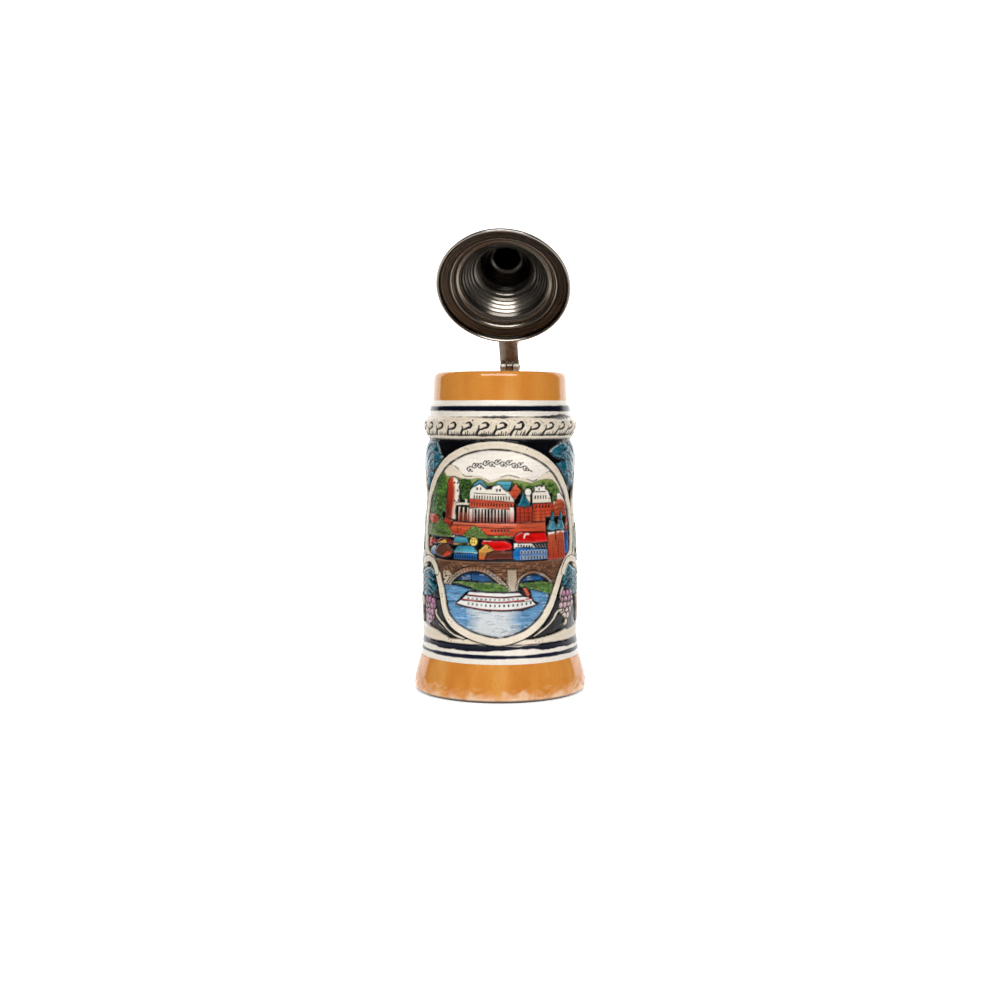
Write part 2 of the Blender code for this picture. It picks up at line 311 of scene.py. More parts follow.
LEAF_SIDE = [(0.1, -0.14), (0.34, -0.16), (0.31, 0.0), (0.55, 0.06), (0.47, 0.2), (0.66, 0.36),
             (0.45, 0.4), (0.37, 0.5), (0.43, 0.68), (0.25, 0.66), (0.2, 0.82), (0.09, 0.82)]
LEAF = [(0, 0)] + LEAF_SIDE + [(0, 1.04)] + [(-u, z) for u, z in reversed(LEAF_SIDE)]
LEAF_TIP = LEAF[9:18]
LEAF_LOBES = ((0, 0.95), (58, 0.72), (-58, 0.72), (108, 0.42), (-108, 0.42))  # each lobe's angle and length
LEAF_VEINS = [[(0, 0), (0.02, 0.5), (0, 0.96)]]
for side in (-1, 1):
    LEAF_VEINS.append([(0, 0), (side * 0.24, 0.14), (side * 0.58, 0.34)])
    LEAF_VEINS.append([(0, 0.2), (side * 0.16, 0.42), (side * 0.36, 0.62)])
    LEAF_VEINS.append([(0, 0), (side * 0.16, -0.04), (side * 0.3, -0.1)])
    LEAF_VEINS.append([(0, 0.5), (side * 0.1, 0.64), (side * 0.17, 0.76)])


def leaf(relief, draw, centre, size, angle, level=GROUND):
    """A vine leaf in streaky teal with a painted highlight along its tip, and with its veins cut in."""
    relief.lay(polygon(turned_points(LEAF, centre, size, angle)), (TEAL * 1.2, TEAL * 0.8), level + 0.3,
               0.75, 2.6)
    # Painted highlight: a pale edge along the leaf's tip.
    relief.swell(stroke(turned_points(LEAF_TIP, centre, size, angle), 0.7, smooth=False), 0.05, 0.3, PALE,
                 0.5)
    for i in range(44):
        lobe, length = LEAF_LOBES[i % 5]
        start, end = sorted(draw.uniform(0.1, 0.9, 2) * length)
        offset = draw.uniform(-0.13, 0.13)
        c, s = math.cos(math.radians(lobe)), math.sin(math.radians(lobe))
        line = [(s * a + c * offset * (1.3 - a), c * a - s * offset * (1.3 - a)) for a in (start, end)]
        kind = draw.integers(0, 4)
        marks = stroke(turned_points(line, centre, size, angle), 0.9, 0.3)
        relief.swell(marks, (0.12, -0.12, 0.05, -0.1)[kind], 0.4,
                     (PALE_TEAL, DEEP_TEAL, TEAL, BLACK)[kind], 0.7)
    for vein in LEAF_VEINS:
        relief.carve(stroke(turned_points(vein, centre, size, angle), 0.55, 0.3), 0.3, DEEP_TEAL * 0.5,
                     0.85)


def grapes(relief, draw, top, rows, size, colours, lean=0.0, level=GROUND):
    """A hanging bunch: each berry is a dome, painted lighter above and darker below, with a painted
    highlight spot.
    """
    berries = []
    for row, count in enumerate(rows):
        for i in range(count):
            u = top[0] + lean * row + (i - (count - 1) / 2) * size * 1.75 + draw.normal(0, 0.2)
            berries.append((u, top[1] - row * size * 1.5 + draw.normal(0, 0.2),
                            row / max(len(rows) - 1, 1)))
    draw.shuffle(berries)
    for u, z, down in berries:
        colour = colours[0] * (1 - down) + colours[1] * down
        berry = oval(u, z, size, size * draw.uniform(0.92, 1.08))
        # Painted light and shade: each berry lighter at its top and darker below, and a painted highlight
        # spot at its upper left.
        relief.lay(berry, (colour * 1.12, colour * 0.72), level + 0.35, 0.95, size)
        relief.swell(oval(u - 0.25 * size, z + 0.35 * size, 0.24 * size), 0.04, 0.3, PALE, 0.55)


def foliage(relief, draw, outline, level, count, size, colours):
    """Clumps of leaves that fill an outline, the lower ones in front."""
    (u0, u1, z0, z1), distance = polygon(outline, smooth=True)
    u = draw.uniform(u0, u1, count)
    z = draw.uniform(z0, z1, count)
    inside = distance(u, z) < -0.3 * size
    for u, z in sorted(zip(u[inside], z[inside]), key=lambda point: -point[1]):
        colour = colours[0] + (colours[1] - colours[0]) * draw.uniform(0, 1)
        tuft = oval(u, z, size * draw.uniform(0.7, 1.3), size * draw.uniform(0.55, 0.95))
        # Painted light and shade: each tuft lighter at its top and darker below.
        relief.lay(tuft, (colour * 1.15, colour * 0.8), level + draw.uniform(0, 0.15), 0.32, size, 0.28)


def windows(relief, left, right, bottom, top, count, share=0.45, colour=BLACK, depth=0.4, lean=0.0):
    """A row of window holes. The row may rise to the right by lean."""
    pitch = (right - left) / count
    for i in range(count):
        u = left + pitch * (i + 0.5)
        up = lean * (i + 0.5) / count
        half = pitch * share / 2
        relief.carve(block(u - half, u + half, bottom + up, top + up), depth, colour, 0.92)


def courses(relief, shape, pitch, colour, depth=0.12, strength=0.5, grid=0.0):
    """Courses of stone or tiles across a shape; grid is the width of one stone, or 0 for plain lines."""
    u0, u1, z0, z1 = shape[0]
    clip = relief.clip
    relief.clip = relief.inside(shape) * (1 if clip is None else clip)
    for row, z in enumerate(np.arange(z0 + pitch / 2, z1, pitch)):
        wave = [(u, z + 0.12 * math.sin(u * 1.3 + row)) for u in np.arange(u0, u1 + 2, 2)]
        relief.carve(stroke(wave, 0.24, smooth=False), depth, colour, strength)
        if grid:
            for u in np.arange(u0 + (row % 2) * grid / 2, u1, grid):
                relief.carve(block(u - 0.1, u + 0.1, z, z + pitch), depth, colour, strength)
    relief.clip = clip


def house(relief, left, right, bottom, eaves, ridge, roof, wall, level=-0.8, gable=0.0):
    """A house seen from its long side, with a gable of that width at its left end."""
    relief.lay(block(left, right, bottom, eaves), wall, level, 0.25, 0.8)
    hip = (ridge - eaves) * 0.6
    tiles = [(left - 0.5, eaves - 0.2), (left + hip, ridge), (right - hip, ridge),
             (right + 0.5, eaves - 0.2)]
    relief.lay(polygon(tiles), roof, level + 0.15, 0.35, 0.9)
    dark = (roof[1] if isinstance(roof, tuple) else roof) * 0.45
    courses(relief, polygon(tiles), 0.9, dark, 0.08, 0.4)
    windows(relief, left + gable + 0.4, right - 0.4, bottom + 0.8, eaves - 0.9,
            max(2, round((right - left) / 1.9)))
    if gable:
        peak = [(left - 0.4, eaves - 0.1), (left + gable / 2, ridge + 0.6),
                (left + gable + 0.4, eaves - 0.1)]
        relief.lay(polygon([(left, bottom)] + peak + [(left + gable, bottom)]), wall, level + 0.3, 0.25,
                   0.7)
        windows(relief, left + 0.5, left + gable - 0.5, eaves - 0.6, eaves + 0.8, 2)


# ---------------------------------------------------------------- the front picture

FRONT_RING = [(-2, 128.3), (9, 127), (20, 123.3), (29, 118), (36.5, 111), (42.5, 102.5), (46, 93),
              (46.8, 83), (45, 73.5), (38.5, 68), (34, 62), (31.5, 57), (29, 51.5), (26.5, 46.5),
              (22.5, 41), (17, 36.2), (10, 32.6), (0, 30.2), (-10, 31.6), (-19, 34.6), (-25.3, 38),
              (-29, 42), (-31, 47), (-32.3, 53), (-34, 58.5), (-36.5, 64), (-41, 69.5), (-48.5, 74),
              (-50, 85), (-49, 95), (-45.5, 104), (-39, 112.5), (-31, 119.8), (-22, 124.6), (-13, 127.3)]


def hills(relief, draw):
    """The pale line of far hills, the wooded hills before it, and the forest on the left."""
    far = [(-36.5, 113), (-33, 116.3), (-30.5, 118.3), (-28, 118.5), (-25.5, 117.8), (-23, 116.2),
           (-20.5, 113.7), (-18.5, 112.7), (-15, 112.8), (-10.5, 112.8), (-8, 111.6), (-5.5, 110.4),
           (-3, 111.2), (0.5, 112.4), (4, 113.4), (7, 112.9), (10, 112), (14.5, 111.4), (17.5, 110.2),
           (20, 111), (23, 113), (26, 114.2), (28.5, 114.9), (31, 113.6), (34, 110)]
    relief.lay(polygon(far + [(36, 100), (-40, 100)]), CREAM * 1.06, SKY + 0.1, 0.25, 1.2, 0.0)
    for part in (far[:3], far[4:6], far[6:9], far[10:12], far[13:17], far[17:20], far[21:27]):
        relief.carve(stroke(part, 0.3, 0.42), 0.14, SEPIA * 0.6, 0.75)
    wood = [(-40, 108), (-36.5, 112.5), (-33.7, 114), (-31.5, 112.5), (-24, 112.3), (-20, 111.4),
            (-15, 111.3), (-12, 112), (-10, 111.8), (-8, 110.8), (-6, 109.6), (-3.5, 109.9), (0, 111.3),
            (5, 111.4), (10, 110.7), (14, 109.9), (17, 109.3), (20, 110.5), (25, 111.2), (30, 110.8),
            (33.5, 108.6), (37, 104), (38, 96)]
    relief.lay(polygon(wood + [(30, 95), (-40, 95)], smooth=False), (PALE_GRASS * 0.66, GRASS * 0.6),
               SKY + 0.2, 0.35, 1.5, 0.0)
    edge = [(u, z - 1.6) for u, z in wood[4:-2]]
    foliage(relief, draw, edge + [(36, 100), (20, 103), (-24, 101)], SKY + 0.3, 520, 0.85,
            (GRASS, DARK_GRASS * 0.9))
    forest = [(-49, 91), (-45, 101), (-39, 110.5), (-34.5, 113.6), (-31.5, 111.5), (-31, 91.5)]
    relief.lay(polygon(forest), (GRASS * 1.05, DARK_GRASS), SKY + 0.2, 0.4, 1.5, 0.3)
    foliage(relief, draw, forest, SKY + 0.3, 620, 1.0, (GRASS * 1.1, DARK_GRASS))


def sky_ornament(relief):
    """A garland high in the sky: a wavy stem with a curl and a leaf at each bend."""

    def lift(u):
        return 119.4 - 0.011 * (u + 1) ** 2

    stem = [(u, lift(u) + 0.7 * math.sin(u * 1.05)) for u in np.arange(-18, 17.5, 0.8)]
    relief.carve(stroke(stem, 0.5), 0.3, BLACK, 0.95)
    for i in range(11):
        u = -16.5 + 3 * i
        side = 1 if i % 2 else -1
        curl = [(-1.2, -0.2), (-1.0, 1.0), (0, 1.5), (0.7, 0.8), (0.1, 0.4)]
        relief.carve(stroke([(u + a, lift(u) + side * b) for a, b in curl], 0.4, 0.75), 0.3, BLACK, 0.95)
        relief.carve(oval(u + 1.5, lift(u) + side * 1.5, 0.55, 0.35), 0.25, BLACK, 0.9)


def round_tower(relief):
    """The tall tower at the left, half in red shade."""
    body = [(-31.6, 91), (-31.2, 98), (-30.6, 104), (-29.7, 109.8), (-28, 112), (-25.6, 112.4),
            (-23.4, 111.3), (-22, 109), (-21.6, 105), (-22.2, 100.5), (-23.4, 96.5), (-24, 91)]
    relief.lay(polygon(body), (PALE, CREAM), -0.75, 0.6, 4, 0.9)
    shade = body[:5] + [(-26.2, 112.2), (-25, 107), (-25.3, 101), (-26.2, 96), (-26.8, 91)]
    relief.swell(polygon(shade), 0.0, 1, (TERRACOTTA, DARK_BRICK * 1.25), grain="up")
    relief.swell(stroke([(-26, 111.5), (-25.2, 106), (-25.6, 100), (-26.6, 92)], 1.6), 0, 1, PALE_BRICK,
                 0.55)
    relief.swell(stroke([(-29.6, 107), (-29.9, 100), (-30.6, 92)], 1.4, 0.9), -0.05, 0.5, DARK_BRICK, 0.5)
    for u, z in ((-25, 109.4), (-23.2, 109.3), (-23.3, 105.5), (-25, 100.4), (-22.9, 100.6)):
        relief.carve(oval(u, z, 0.45, 0.55), 0.35, BLACK, 0.9)


def palace(relief, draw):
    """The long front with two gables, a row of windows over a red storey, and an arcade."""
    relief.lay(polygon([(-22, 100), (-22.2, 108), (-20, 111), (-16, 111), (-15, 107), (-15, 100)]),
               DARK_GRASS * 0.7, -1.2, 0.3, 1.5)
    foliage(relief, draw, [(-22, 101), (-22, 109), (-19, 111.3), (-15.6, 110), (-15.4, 103), (-18, 100)],
            -1.1, 130, 0.8, (GRASS * 0.95, DARK_GRASS * 0.8))
    relief.lay(polygon([(-24.6, 90.2), (-24.4, 99), (-22, 99.5), (-21.6, 104), (-21, 101.6), (-19, 100.4),
                        (-17, 100.8), (-16, 103), (-15.6, 90.2)]), BLACK, -1.35, 0.1, 0.5)
    relief.lay(polygon([(-25, 98), (-24.5, 99.6), (-19, 99.7), (-18.9, 101.4), (-17.6, 101.4),
                        (-17.5, 99.6), (-15, 99.5), (-15, 98), (-20, 98.3)]), CREAM, -0.95, 0.3, 0.5)
    relief.lay(block(-23.4, -16.4, 90.2, 94.6), (PALE_BRICK * 0.7, DARK_BRICK), -0.95, 0.25, 0.8,
               grain="up")
    for u in (-22.4, -19.8, -17.2):
        relief.lay(block(u - 0.65, u + 0.65, 90.2, 97.4), (CREAM, TERRACOTTA), -0.85, 0.3, 0.5)
    front = [(-16.2, 96), (-16.2, 104.5), (-15.4, 106.4), (-14, 107.6), (-10.6, 109.2), (-7.2, 106.4),
             (-4.6, 106.8), (-3.6, 107.8), (-0.6, 109.3), (2.2, 106.6), (5.2, 105), (7.4, 101.5),
             (8.2, 96)]
    relief.lay(polygon(front), (PALE, CREAM), -0.6, 0.3, 0.6, 0.9)
    relief.lay(polygon([(-7.6, 107.9), (-3.6, 108.4), (-4.3, 106.5), (-6.9, 106.3)]), BLACK, -1.1, 0.1,
               0.5, 0.4)
    gable = [(-14.6, 107.6), (-13.4, 109.4), (-10.9, 111), (-9.4, 110.8), (-6.4, 107.5), (-7.4, 106.9)]
    relief.lay(polygon(gable + [(-10.4, 109.4), (-13.4, 107.6)]), (PALE_TEAL, TEAL), -0.5, 0.3, 0.5)
    second = [(-3.4, 107.8), (-1, 110.3), (6.3, 110.2), (5.4, 107.6), (3.7, 105.2), (1.6, 106.8),
              (-0.4, 109)]
    relief.lay(polygon(second), (PALE_TEAL, TEAL), -0.5, 0.3, 0.5)
    for u, z in ((-11.9, 106.7), (-10.1, 106.7), (-1.6, 106), (0, 106)):
        relief.carve(block(u - 0.35, u + 0.35, z - 0.75, z + 0.6), 0.4, BLACK, 0.95)
    relief.carve(stroke([(-13.5, 104.4), (-6, 104.1), (3, 103.8)], 0.4), 0.25, BLACK, 0.95)
    windows(relief, -14.2, 5.4, 101.5, 103.4, 14, 0.42, lean=-0.6)
    storey = [(-16.3, 97.2), (-16.2, 101.6), (-8, 101.2), (0, 100.7), (7, 100), (7.6, 95.8), (0, 96.6),
              (-8, 97)]
    relief.lay(polygon(storey), (TERRACOTTA, PALE_BRICK * 0.9), -0.5, 0.2, 0.5, 0.5)
    windows(relief, -15.6, 6.4, 98.1, 99.9, 15, 0.4, DARK_BRICK * 0.35, lean=-0.7)
    relief.lay(block(-14.6, 5.2, 90, 96.4), BLACK, -1.25, 0.1, 0.4)
    count = 12
    for i in range(count + 1):
        u = -15.3 + 20.5 * i / count
        wide = 1.1 if i in (0, count) else 0.5
        relief.lay(block(u - wide, u + wide, 89.8, 96.9 - 0.05 * i), (PALE, TERRACOTTA * 0.75), -0.6, 0.3,
                   0.5)
    relief.lay(block(4.9, 7.8, 89.8, 97.6), (PALE, TERRACOTTA), -0.5, 0.3, 0.7)
    courses(relief, block(-14.6, 5.2, 90, 92.6), 1.3, DARK_BRICK * 0.5, 0.1, 0.5)


def terrace(relief, draw):
    """The long red terrace wall under the palace, its bastions, and the bushes before it."""
    wall = [(-31, 84), (-31.5, 90.2), (-20, 89.8), (8, 89.6), (26, 90), (26.5, 84), (6, 82.6), (-20, 83)]
    relief.lay(polygon(wall), (PALE_BRICK * 0.82, TERRACOTTA * 0.95), -0.7, 0.3, 1.0)
    relief.swell(stroke([(-26, 89.4), (-10, 89.1), (8, 88.4)], 0.9), 0.2, 0.5, PALE_BRICK)
    relief.carve(stroke([(-25.5, 88.3), (-14, 88.2), (-11, 87.4), (7, 87)], 0.35), 0.25, DARK_BRICK * 0.5,
                 0.8)
    for joint, wide in (([(-24, 86.3), (-20.5, 86.2)], 0.35), ([(-23.2, 88.2), (-23, 84.5)], 0.3)):
        relief.carve(stroke(joint, wide), 0.2, DARK_BRICK * 0.5, 0.7)
    windows(relief, -5, 5, 85.2, 86.4, 6, 0.5, DARK_BRICK * 0.4)
    relief.lay(oval(-29.8, 89.2, 3.4, 2.3), (TERRACOTTA, DARK_BRICK), -0.6, 0.4, 1.6)
    relief.lay(oval(-33, 93, 1.5, 1.9), BLACK, -1.1, 0.05, 0.5, 0.5)
    bastion = [(-47.5, 92.8), (-41, 92.9), (-36.2, 91.9), (-38.5, 88.9), (-42, 87.6), (-46, 89)]
    relief.lay(polygon(bastion), (PALE_BRICK * 0.8, TERRACOTTA * 0.8), -0.7, 0.4, 1.2)
    relief.carve(stroke([(-46.5, 91.3), (-42, 91.4), (-38, 90.8)], 0.3), 0.2, DARK_BRICK * 0.5, 0.7)
    greens = (GRASS * 1.1, OLIVE * 0.8)
    left = [(-49, 80.5), (-49, 87.5), (-45, 87.6), (-40, 88), (-35, 90.5), (-31, 88.8), (-27.6, 85.5),
            (-27, 82)]
    relief.lay(polygon(left + [(-38, 80.2)]), (GRASS, DARK_GRASS), -0.75, 0.4, 1.2)
    foliage(relief, draw, left + [(-38, 80.2)], -0.6, 420, 0.95, greens)
    bush = [(-19.5, 82), (-18, 85), (-15, 87.2), (-12.4, 87.6), (-9.6, 86), (-6.5, 83.5), (4, 83.2),
            (5.4, 81.8), (-8, 81), (-14, 81)]
    relief.lay(polygon(bush), (OLIVE, DARK_GRASS), -0.7, 0.4, 1.0)
    foliage(relief, draw, bush, -0.55, 240, 0.8, (OLIVE, GRASS * 0.8))


def right_buildings(relief):
    """The buildings right of the palace, and the two spires before them."""
    relief.lay(block(7.4, 30, 88, 104), BLACK, -1.3, 0.1, 0.6)
    body = [(17, 98), (17.2, 104.4), (18.4, 105.2), (18.2, 107.7), (24.8, 107.9), (25, 106.2),
            (26.6, 105.6), (28.6, 102.4), (29.8, 98)]
    relief.lay(polygon(body), (PALE, CREAM), -0.65, 0.35, 0.7, 0.9)
    relief.carve(stroke([(19.2, 105), (25.2, 104.9)], 0.5), 0.3, BLACK, 0.9)
    for hatch in ((19.1, 20.6), (22.2, 23.6)):
        relief.carve(block(*hatch, 107.2, 108), 0.4, BLACK, 0.9)
    relief.carve(block(20.9, 21.5, 105.6, 107), 0.35, SEPIA * 0.4, 0.9)
    windows(relief, 18, 26.4, 101.3, 103.1, 5, 0.45)
    relief.carve(oval(27.6, 101.3, 0.4), 0.3, BLACK, 0.8)
    lower = [(17.2, 86), (17.2, 99.2), (29.8, 99.2), (31.6, 97), (31.4, 86)]
    relief.lay(polygon(lower), (TERRACOTTA, PALE_BRICK * 0.75), -0.6, 0.3, 0.8, grain="up")
    windows(relief, 18.6, 28.4, 96.9, 98.4, 5, 0.4, DARK_BRICK * 0.35)
    courses(relief, polygon(lower), 1.7, DARK_BRICK * 0.6, 0.14, 0.55)
    far = [(30.6, 88), (30.8, 99.6), (33.4, 100.4), (33.6, 103.6), (35.6, 104), (38.4, 102), (41.4, 98.6),
           (42.6, 88)]
    relief.lay(polygon(far), (PALE, TERRACOTTA), -0.7, 0.4, 1.0)
    red = [(30.9, 88), (31.4, 99), (36, 100.6), (40, 99), (42, 95), (42.6, 88)]
    relief.swell(polygon(red, smooth=True), 0.05, 0.5, (PALE_BRICK * 0.9, TERRACOTTA * 0.8))
    for z in (98.4, 96.2):
        relief.carve(stroke([(31.5, z - 0.8), (36, z), (41, z - 1.4)], 0.3), 0.2, DARK_BRICK * 0.6, 0.7)
    relief.lay(block(8.4, 17.3, 86, 98.4), (TERRACOTTA, DARK_BRICK * 1.4), -0.55, 0.35, 2.0, grain="up")
    courses(relief, block(8.4, 17.3, 86, 98.4), 1.9, DARK_BRICK * 0.6, 0.14, 0.6)
    for u in (10.3, 12.6, 15):
        relief.carve(stroke([(u, 97.4), (u + 0.1, 93), (u - 0.1, 88.4)], 0.35), 0.2, DARK_BRICK * 0.5,
                     0.7)
    relief.lay(polygon([(8, 109.3), (11.2, 105.6), (7.8, 100.9), (4.6, 104.6)]), (PALE_BRICK, TERRACOTTA),
               -0.35, 0.2, 0.8, 0.9)
    relief.carve(stroke([(7.4, 108.6), (6.6, 106), (7.6, 102.6)], 0.25), 0.12, DARK_BRICK, 0.5)
    relief.lay(block(13.4, 16.2, 98.6, 104.6), (PALE, CREAM), -0.55, 0.3, 1.4)
    relief.lay(oval(14.8, 104.9, 1.9, 1.9), PALE, -0.5, 0.4, 1.6)
    cone = [(12.2, 105.3), (13.4, 102.4), (15.2, 99.8), (16.7, 98), (12.6, 97.3), (8.7, 98), (10.2, 99.8),
            (11.2, 102.4)]
    relief.lay(polygon(cone), (TEAL, TEAL * 0.8), -0.45, 0.5, 2.4, 0.95, grain="up")
    relief.swell(stroke([(11.9, 103.8), (10.8, 100.4), (9.7, 98.8)], 0.6), 0.08, 0.4, PALE_TEAL, 0.7)
    relief.swell(stroke([(13.5, 101.4), (15, 99.2)], 0.5), 0.08, 0.4, PALE_TEAL, 0.6)


def church(relief):
    """Twin spires over a red front, and what is right of it."""
    relief.lay(block(25.2, 41.2, 82, 92), BLACK, -1.2, 0.1, 0.6)
    body = [(26, 70.3), (26, 84.6), (31, 84.8), (31.6, 83.6), (32.6, 85), (39.4, 84.8), (39, 70.3)]
    relief.lay(polygon(body), (PALE_BRICK * 0.85, TERRACOTTA * 0.85), -0.5, 0.35, 1.2, 0.9, grain="up")
    relief.carve(stroke([(31.6, 84), (31.4, 80.6)], 0.9, 0.3), 0.5, BLACK, 0.9)
    for cornice, wide in (([(27, 84), (30.4, 84.2)], 1.3), ([(33.2, 84.3), (35, 84.9), (38.4, 84.2)],
                                                            1.2)):
        relief.swell(stroke(cornice, wide), 0.1, 0.6, PALE, 0.85)
    courses(relief, polygon(body), 1.15, DARK_BRICK * 0.6, 0.1, 0.4)
    for u in (27.4, 29.4, 33.2, 35.6, 37.4):
        relief.carve(stroke([(u, 80), (u, 71.4)], 0.3), 0.16, DARK_BRICK * 0.5, 0.55)
    relief.lay(block(39, 43.6, 72.6, 84.4), (DARK_BLUE * 1.3, BLUE), -0.9, 0.4, 1.2)
    relief.lay(oval(42, 86, 2, 1.0), SCARLET, -0.8, 0.3, 0.7)
    for u0, apex in ((29.8, 95), (36.3, 94.6)):
        spire = [(u0 - 0.5, apex), (u0 + 0.6, apex - 0.4), (u0 + 1.2, apex - 3), (u0 + 1.1, 90.6),
                 (u0 + 2.2, 88), (u0 + 4, 85.6), (u0, 84.9), (u0 - 4, 85.8), (u0 - 2.4, 88),
                 (u0 - 1.5, 90.6), (u0 - 1.5, apex - 3)]
        relief.lay(polygon(spire), (TEAL, PALE_TEAL * 0.62), -0.4, 0.5, 2, 0.95, grain="up")
        relief.swell(stroke([(u0 - 0.8, 89.4), (u0 - 2.4, 86.8)], 0.8), 0.1, 0.5, PALE_TEAL, 0.75)
        relief.swell(stroke([(u0 + 0.2, 88.6), (u0 + 1.2, 86.4)], 0.6), 0.1, 0.5, PALE_TEAL, 0.5)
        relief.carve(stroke([(u0 - 1.4, 90.4), (u0 + 1.1, 90.3)], 0.5), 0.25, DEEP_TEAL * 0.4, 0.85)


def town(relief):
    """The houses between the terrace and the bridge."""
    relief.lay(block(-48, 40, 70, 82), BLACK, -1.25, 0.1, 0.5, 0.0)
    relief.lay(polygon([(-46.5, 76), (-46.6, 80.6), (-42.8, 80.9), (-42.6, 76.6)]), PALE_BRICK * 0.95,
               -0.9, 0.3, 0.8)
    relief.lay(polygon([(-43.4, 78), (-41.6, 80.4), (-37.4, 79.6), (-38, 78.2)]), SCARLET * 0.8, -0.85,
               0.3, 0.7)
    relief.lay(polygon([(-44.6, 72.2), (-44, 75), (-40.6, 77.2), (-38.8, 76.8), (-39.2, 72.2)]),
               (PALE_WATER, BLUE), -0.85, 0.3, 0.8)
    relief.lay(polygon([(-38.6, 79.4), (-34.6, 81), (-30, 81.8), (-26, 80), (-25.6, 78), (-30, 78.9)]),
               DARK_BRICK, -0.8, 0.3, 0.7)
    relief.lay(polygon([(-38.2, 78.7), (-35, 79.6), (-30.6, 81), (-29.8, 78.8), (-34, 78.3)]),
               (YELLOW, ORANGE), -0.7, 0.2, 0.5)
    brown = [(-39.6, 75), (-36.4, 77.8), (-33, 78.4), (-29.6, 78.6), (-25.4, 75.3), (-27.6, 72.8),
             (-32, 71.4)]
    relief.lay(polygon(brown + [(-38, 72.2)]), (BROWN * 1.1, BROWN * 0.7), -0.65, 0.45, 1.6, 0.95)
    courses(relief, polygon(brown + [(-38, 72.2)]), 1.0, BROWN * 0.4, 0.08, 0.45)
    relief.lay(polygon([(-33.4, 72), (-29, 75.4), (-26.2, 74.6), (-27.4, 72.8), (-31.6, 71.6)]),
               TERRACOTTA, -0.4, 0.2, 0.6, 0.5)
    relief.lay(block(-25.6, -15.8, 78.3, 79.5), (YELLOW, ORANGE), -0.85, 0.2, 0.4)
    relief.lay(polygon([(-25.9, 79.2), (-24.6, 82.4), (-17.6, 82.6), (-16, 79.4)]),
               (PALE_TEAL * 0.9, TEAL), -0.65, 0.4, 0.9, 0.9)
    relief.lay(block(-25, -11.6, 71, 74.6), (BLUE, DARK_BLUE), -0.8, 0.3, 0.8)
    windows(relief, -24.4, -12.2, 71.8, 73.4, 9, 0.4, DARK_BLUE * 0.25, 0.25)
    relief.lay(polygon([(-25.4, 74.4), (-22.6, 78.2), (-14.4, 78.5), (-11.3, 74.6)]),
               (TEAL * 1.25, PALE_TEAL * 0.95), -0.55, 0.45, 1.4, 0.9, grain="up")
    relief.swell(stroke([(-25.2, 74.5), (-11.6, 74.6)], 0.5), 0.1, 0.4, PALE, 0.8)
    relief.lay(oval(-13.6, 80.3, 2.2, 2.3), YELLOW, -0.55, 0.35, 1.6, 0.95)
    for u in (-14.4, -13.1):
        for z in (79.8, 81.2):
            relief.carve(oval(u, z, 0.36), 0.3, BLACK, 0.9)
    roof = [(-9.8, 79.6), (-8.4, 81.2), (-4, 81), (2.2, 81), (5.6, 79.6), (6.4, 77.8), (5.4, 76.4),
            (0, 75.7), (-5, 75.8)]
    relief.lay(polygon(roof), SCARLET, -0.55, 0.4, 1.2, 0.9)
    # Painted highlight: a pale glint along the red roof.
    relief.swell(stroke([(-8.6, 80.9), (-4.6, 80.9)], 0.5), 0.05, 0.3, PALE, 0.8)
    front = [(-10.9, 71.2), (-10.9, 76), (-6.8, 79.4), (-3.2, 76), (-3.6, 71.2)]
    relief.lay(polygon(front), (YELLOW * 0.9, TERRACOTTA * 0.9), -0.45, 0.3, 0.7, 0.9)
    relief.swell(stroke([(-10.6, 76), (-6.8, 79), (-3.4, 76.2)], 0.6, smooth=False), 0.12, 0.3, YELLOW,
                 0.9)
    relief.carve(oval(-5.6, 77.4, 0.4), 0.3, BLACK, 0.9)
    relief.lay(polygon([(-7.6, 71.4), (-6.6, 74.6), (-3, 76), (6.2, 75.6), (6.4, 71.6)]),
               (BROWN, DARK_BRICK * 0.7), -0.5, 0.35, 1.0, 0.8)
    courses(relief, block(-7, 6.4, 71.4, 75.8), 1.05, BROWN * 0.35, 0.1, 0.55)
    hall = [(6.9, 81.4), (7.4, 83), (9.2, 84.4), (11, 85), (24, 84.6), (26.3, 83), (26.8, 81), (26, 79.7),
            (17, 79.5)]
    relief.lay(polygon(hall + [(8.4, 79.7)]), SCARLET, -0.4, 0.5, 1.8, 0.95)
    # Painted highlight: a pale glint on the red roof.
    relief.swell(stroke([(12.2, 82.4), (12.9, 84), (14.6, 84.1)], 0.8), 0.05, 0.3, PALE, 0.8)
    relief.lay(block(7, 26.2, 76.8, 79.6), (PALE, PALE_WATER), -0.7, 0.2, 0.5, 0.6)
    relief.lay(polygon([(16.6, 79.4), (26.3, 79.4), (26.3, 76.6), (19, 76.8)]), (BLACK, SEPIA * 0.5),
               -0.75, 0.25, 0.8)
    for u in np.arange(18.6, 25.6, 1.7):
        relief.swell(stroke([(u, 79), (u + 1.2, 77.2)], 0.3), 0.08, 0.2, PALE_WATER * 0.6, 0.7)
    for i, u in enumerate(np.arange(9.4, 18, 1.45)):
        relief.carve(block(u - 0.4, u + 0.4, 78 - 0.15 * i, 79 - 0.15 * i), 0.3, BLACK, 0.85)
    relief.lay(polygon([(6.6, 71.8), (6.4, 75), (8, 77.4), (12, 77.4), (26.2, 76.2), (26.2, 70.9),
                        (8, 70.9)]), (BLUE, BLUE * 0.75), -0.65, 0.45, 1.4, 0.9)
    for low in (71.5, 74.1):
        for i in range(9):
            u = 11 + 1.7 * i
            arch = [(u - 0.5, low), (u - 0.5, low + 1.4), (u, low + 1.9), (u + 0.5, low + 1.4),
                    (u + 0.5, low)]
            relief.carve(polygon(arch), 0.22, DARK_BLUE * 0.3, 0.8)
            relief.swell(stroke(arch, 0.28), 0.12, 0.2, PALE_WATER, 0.75)


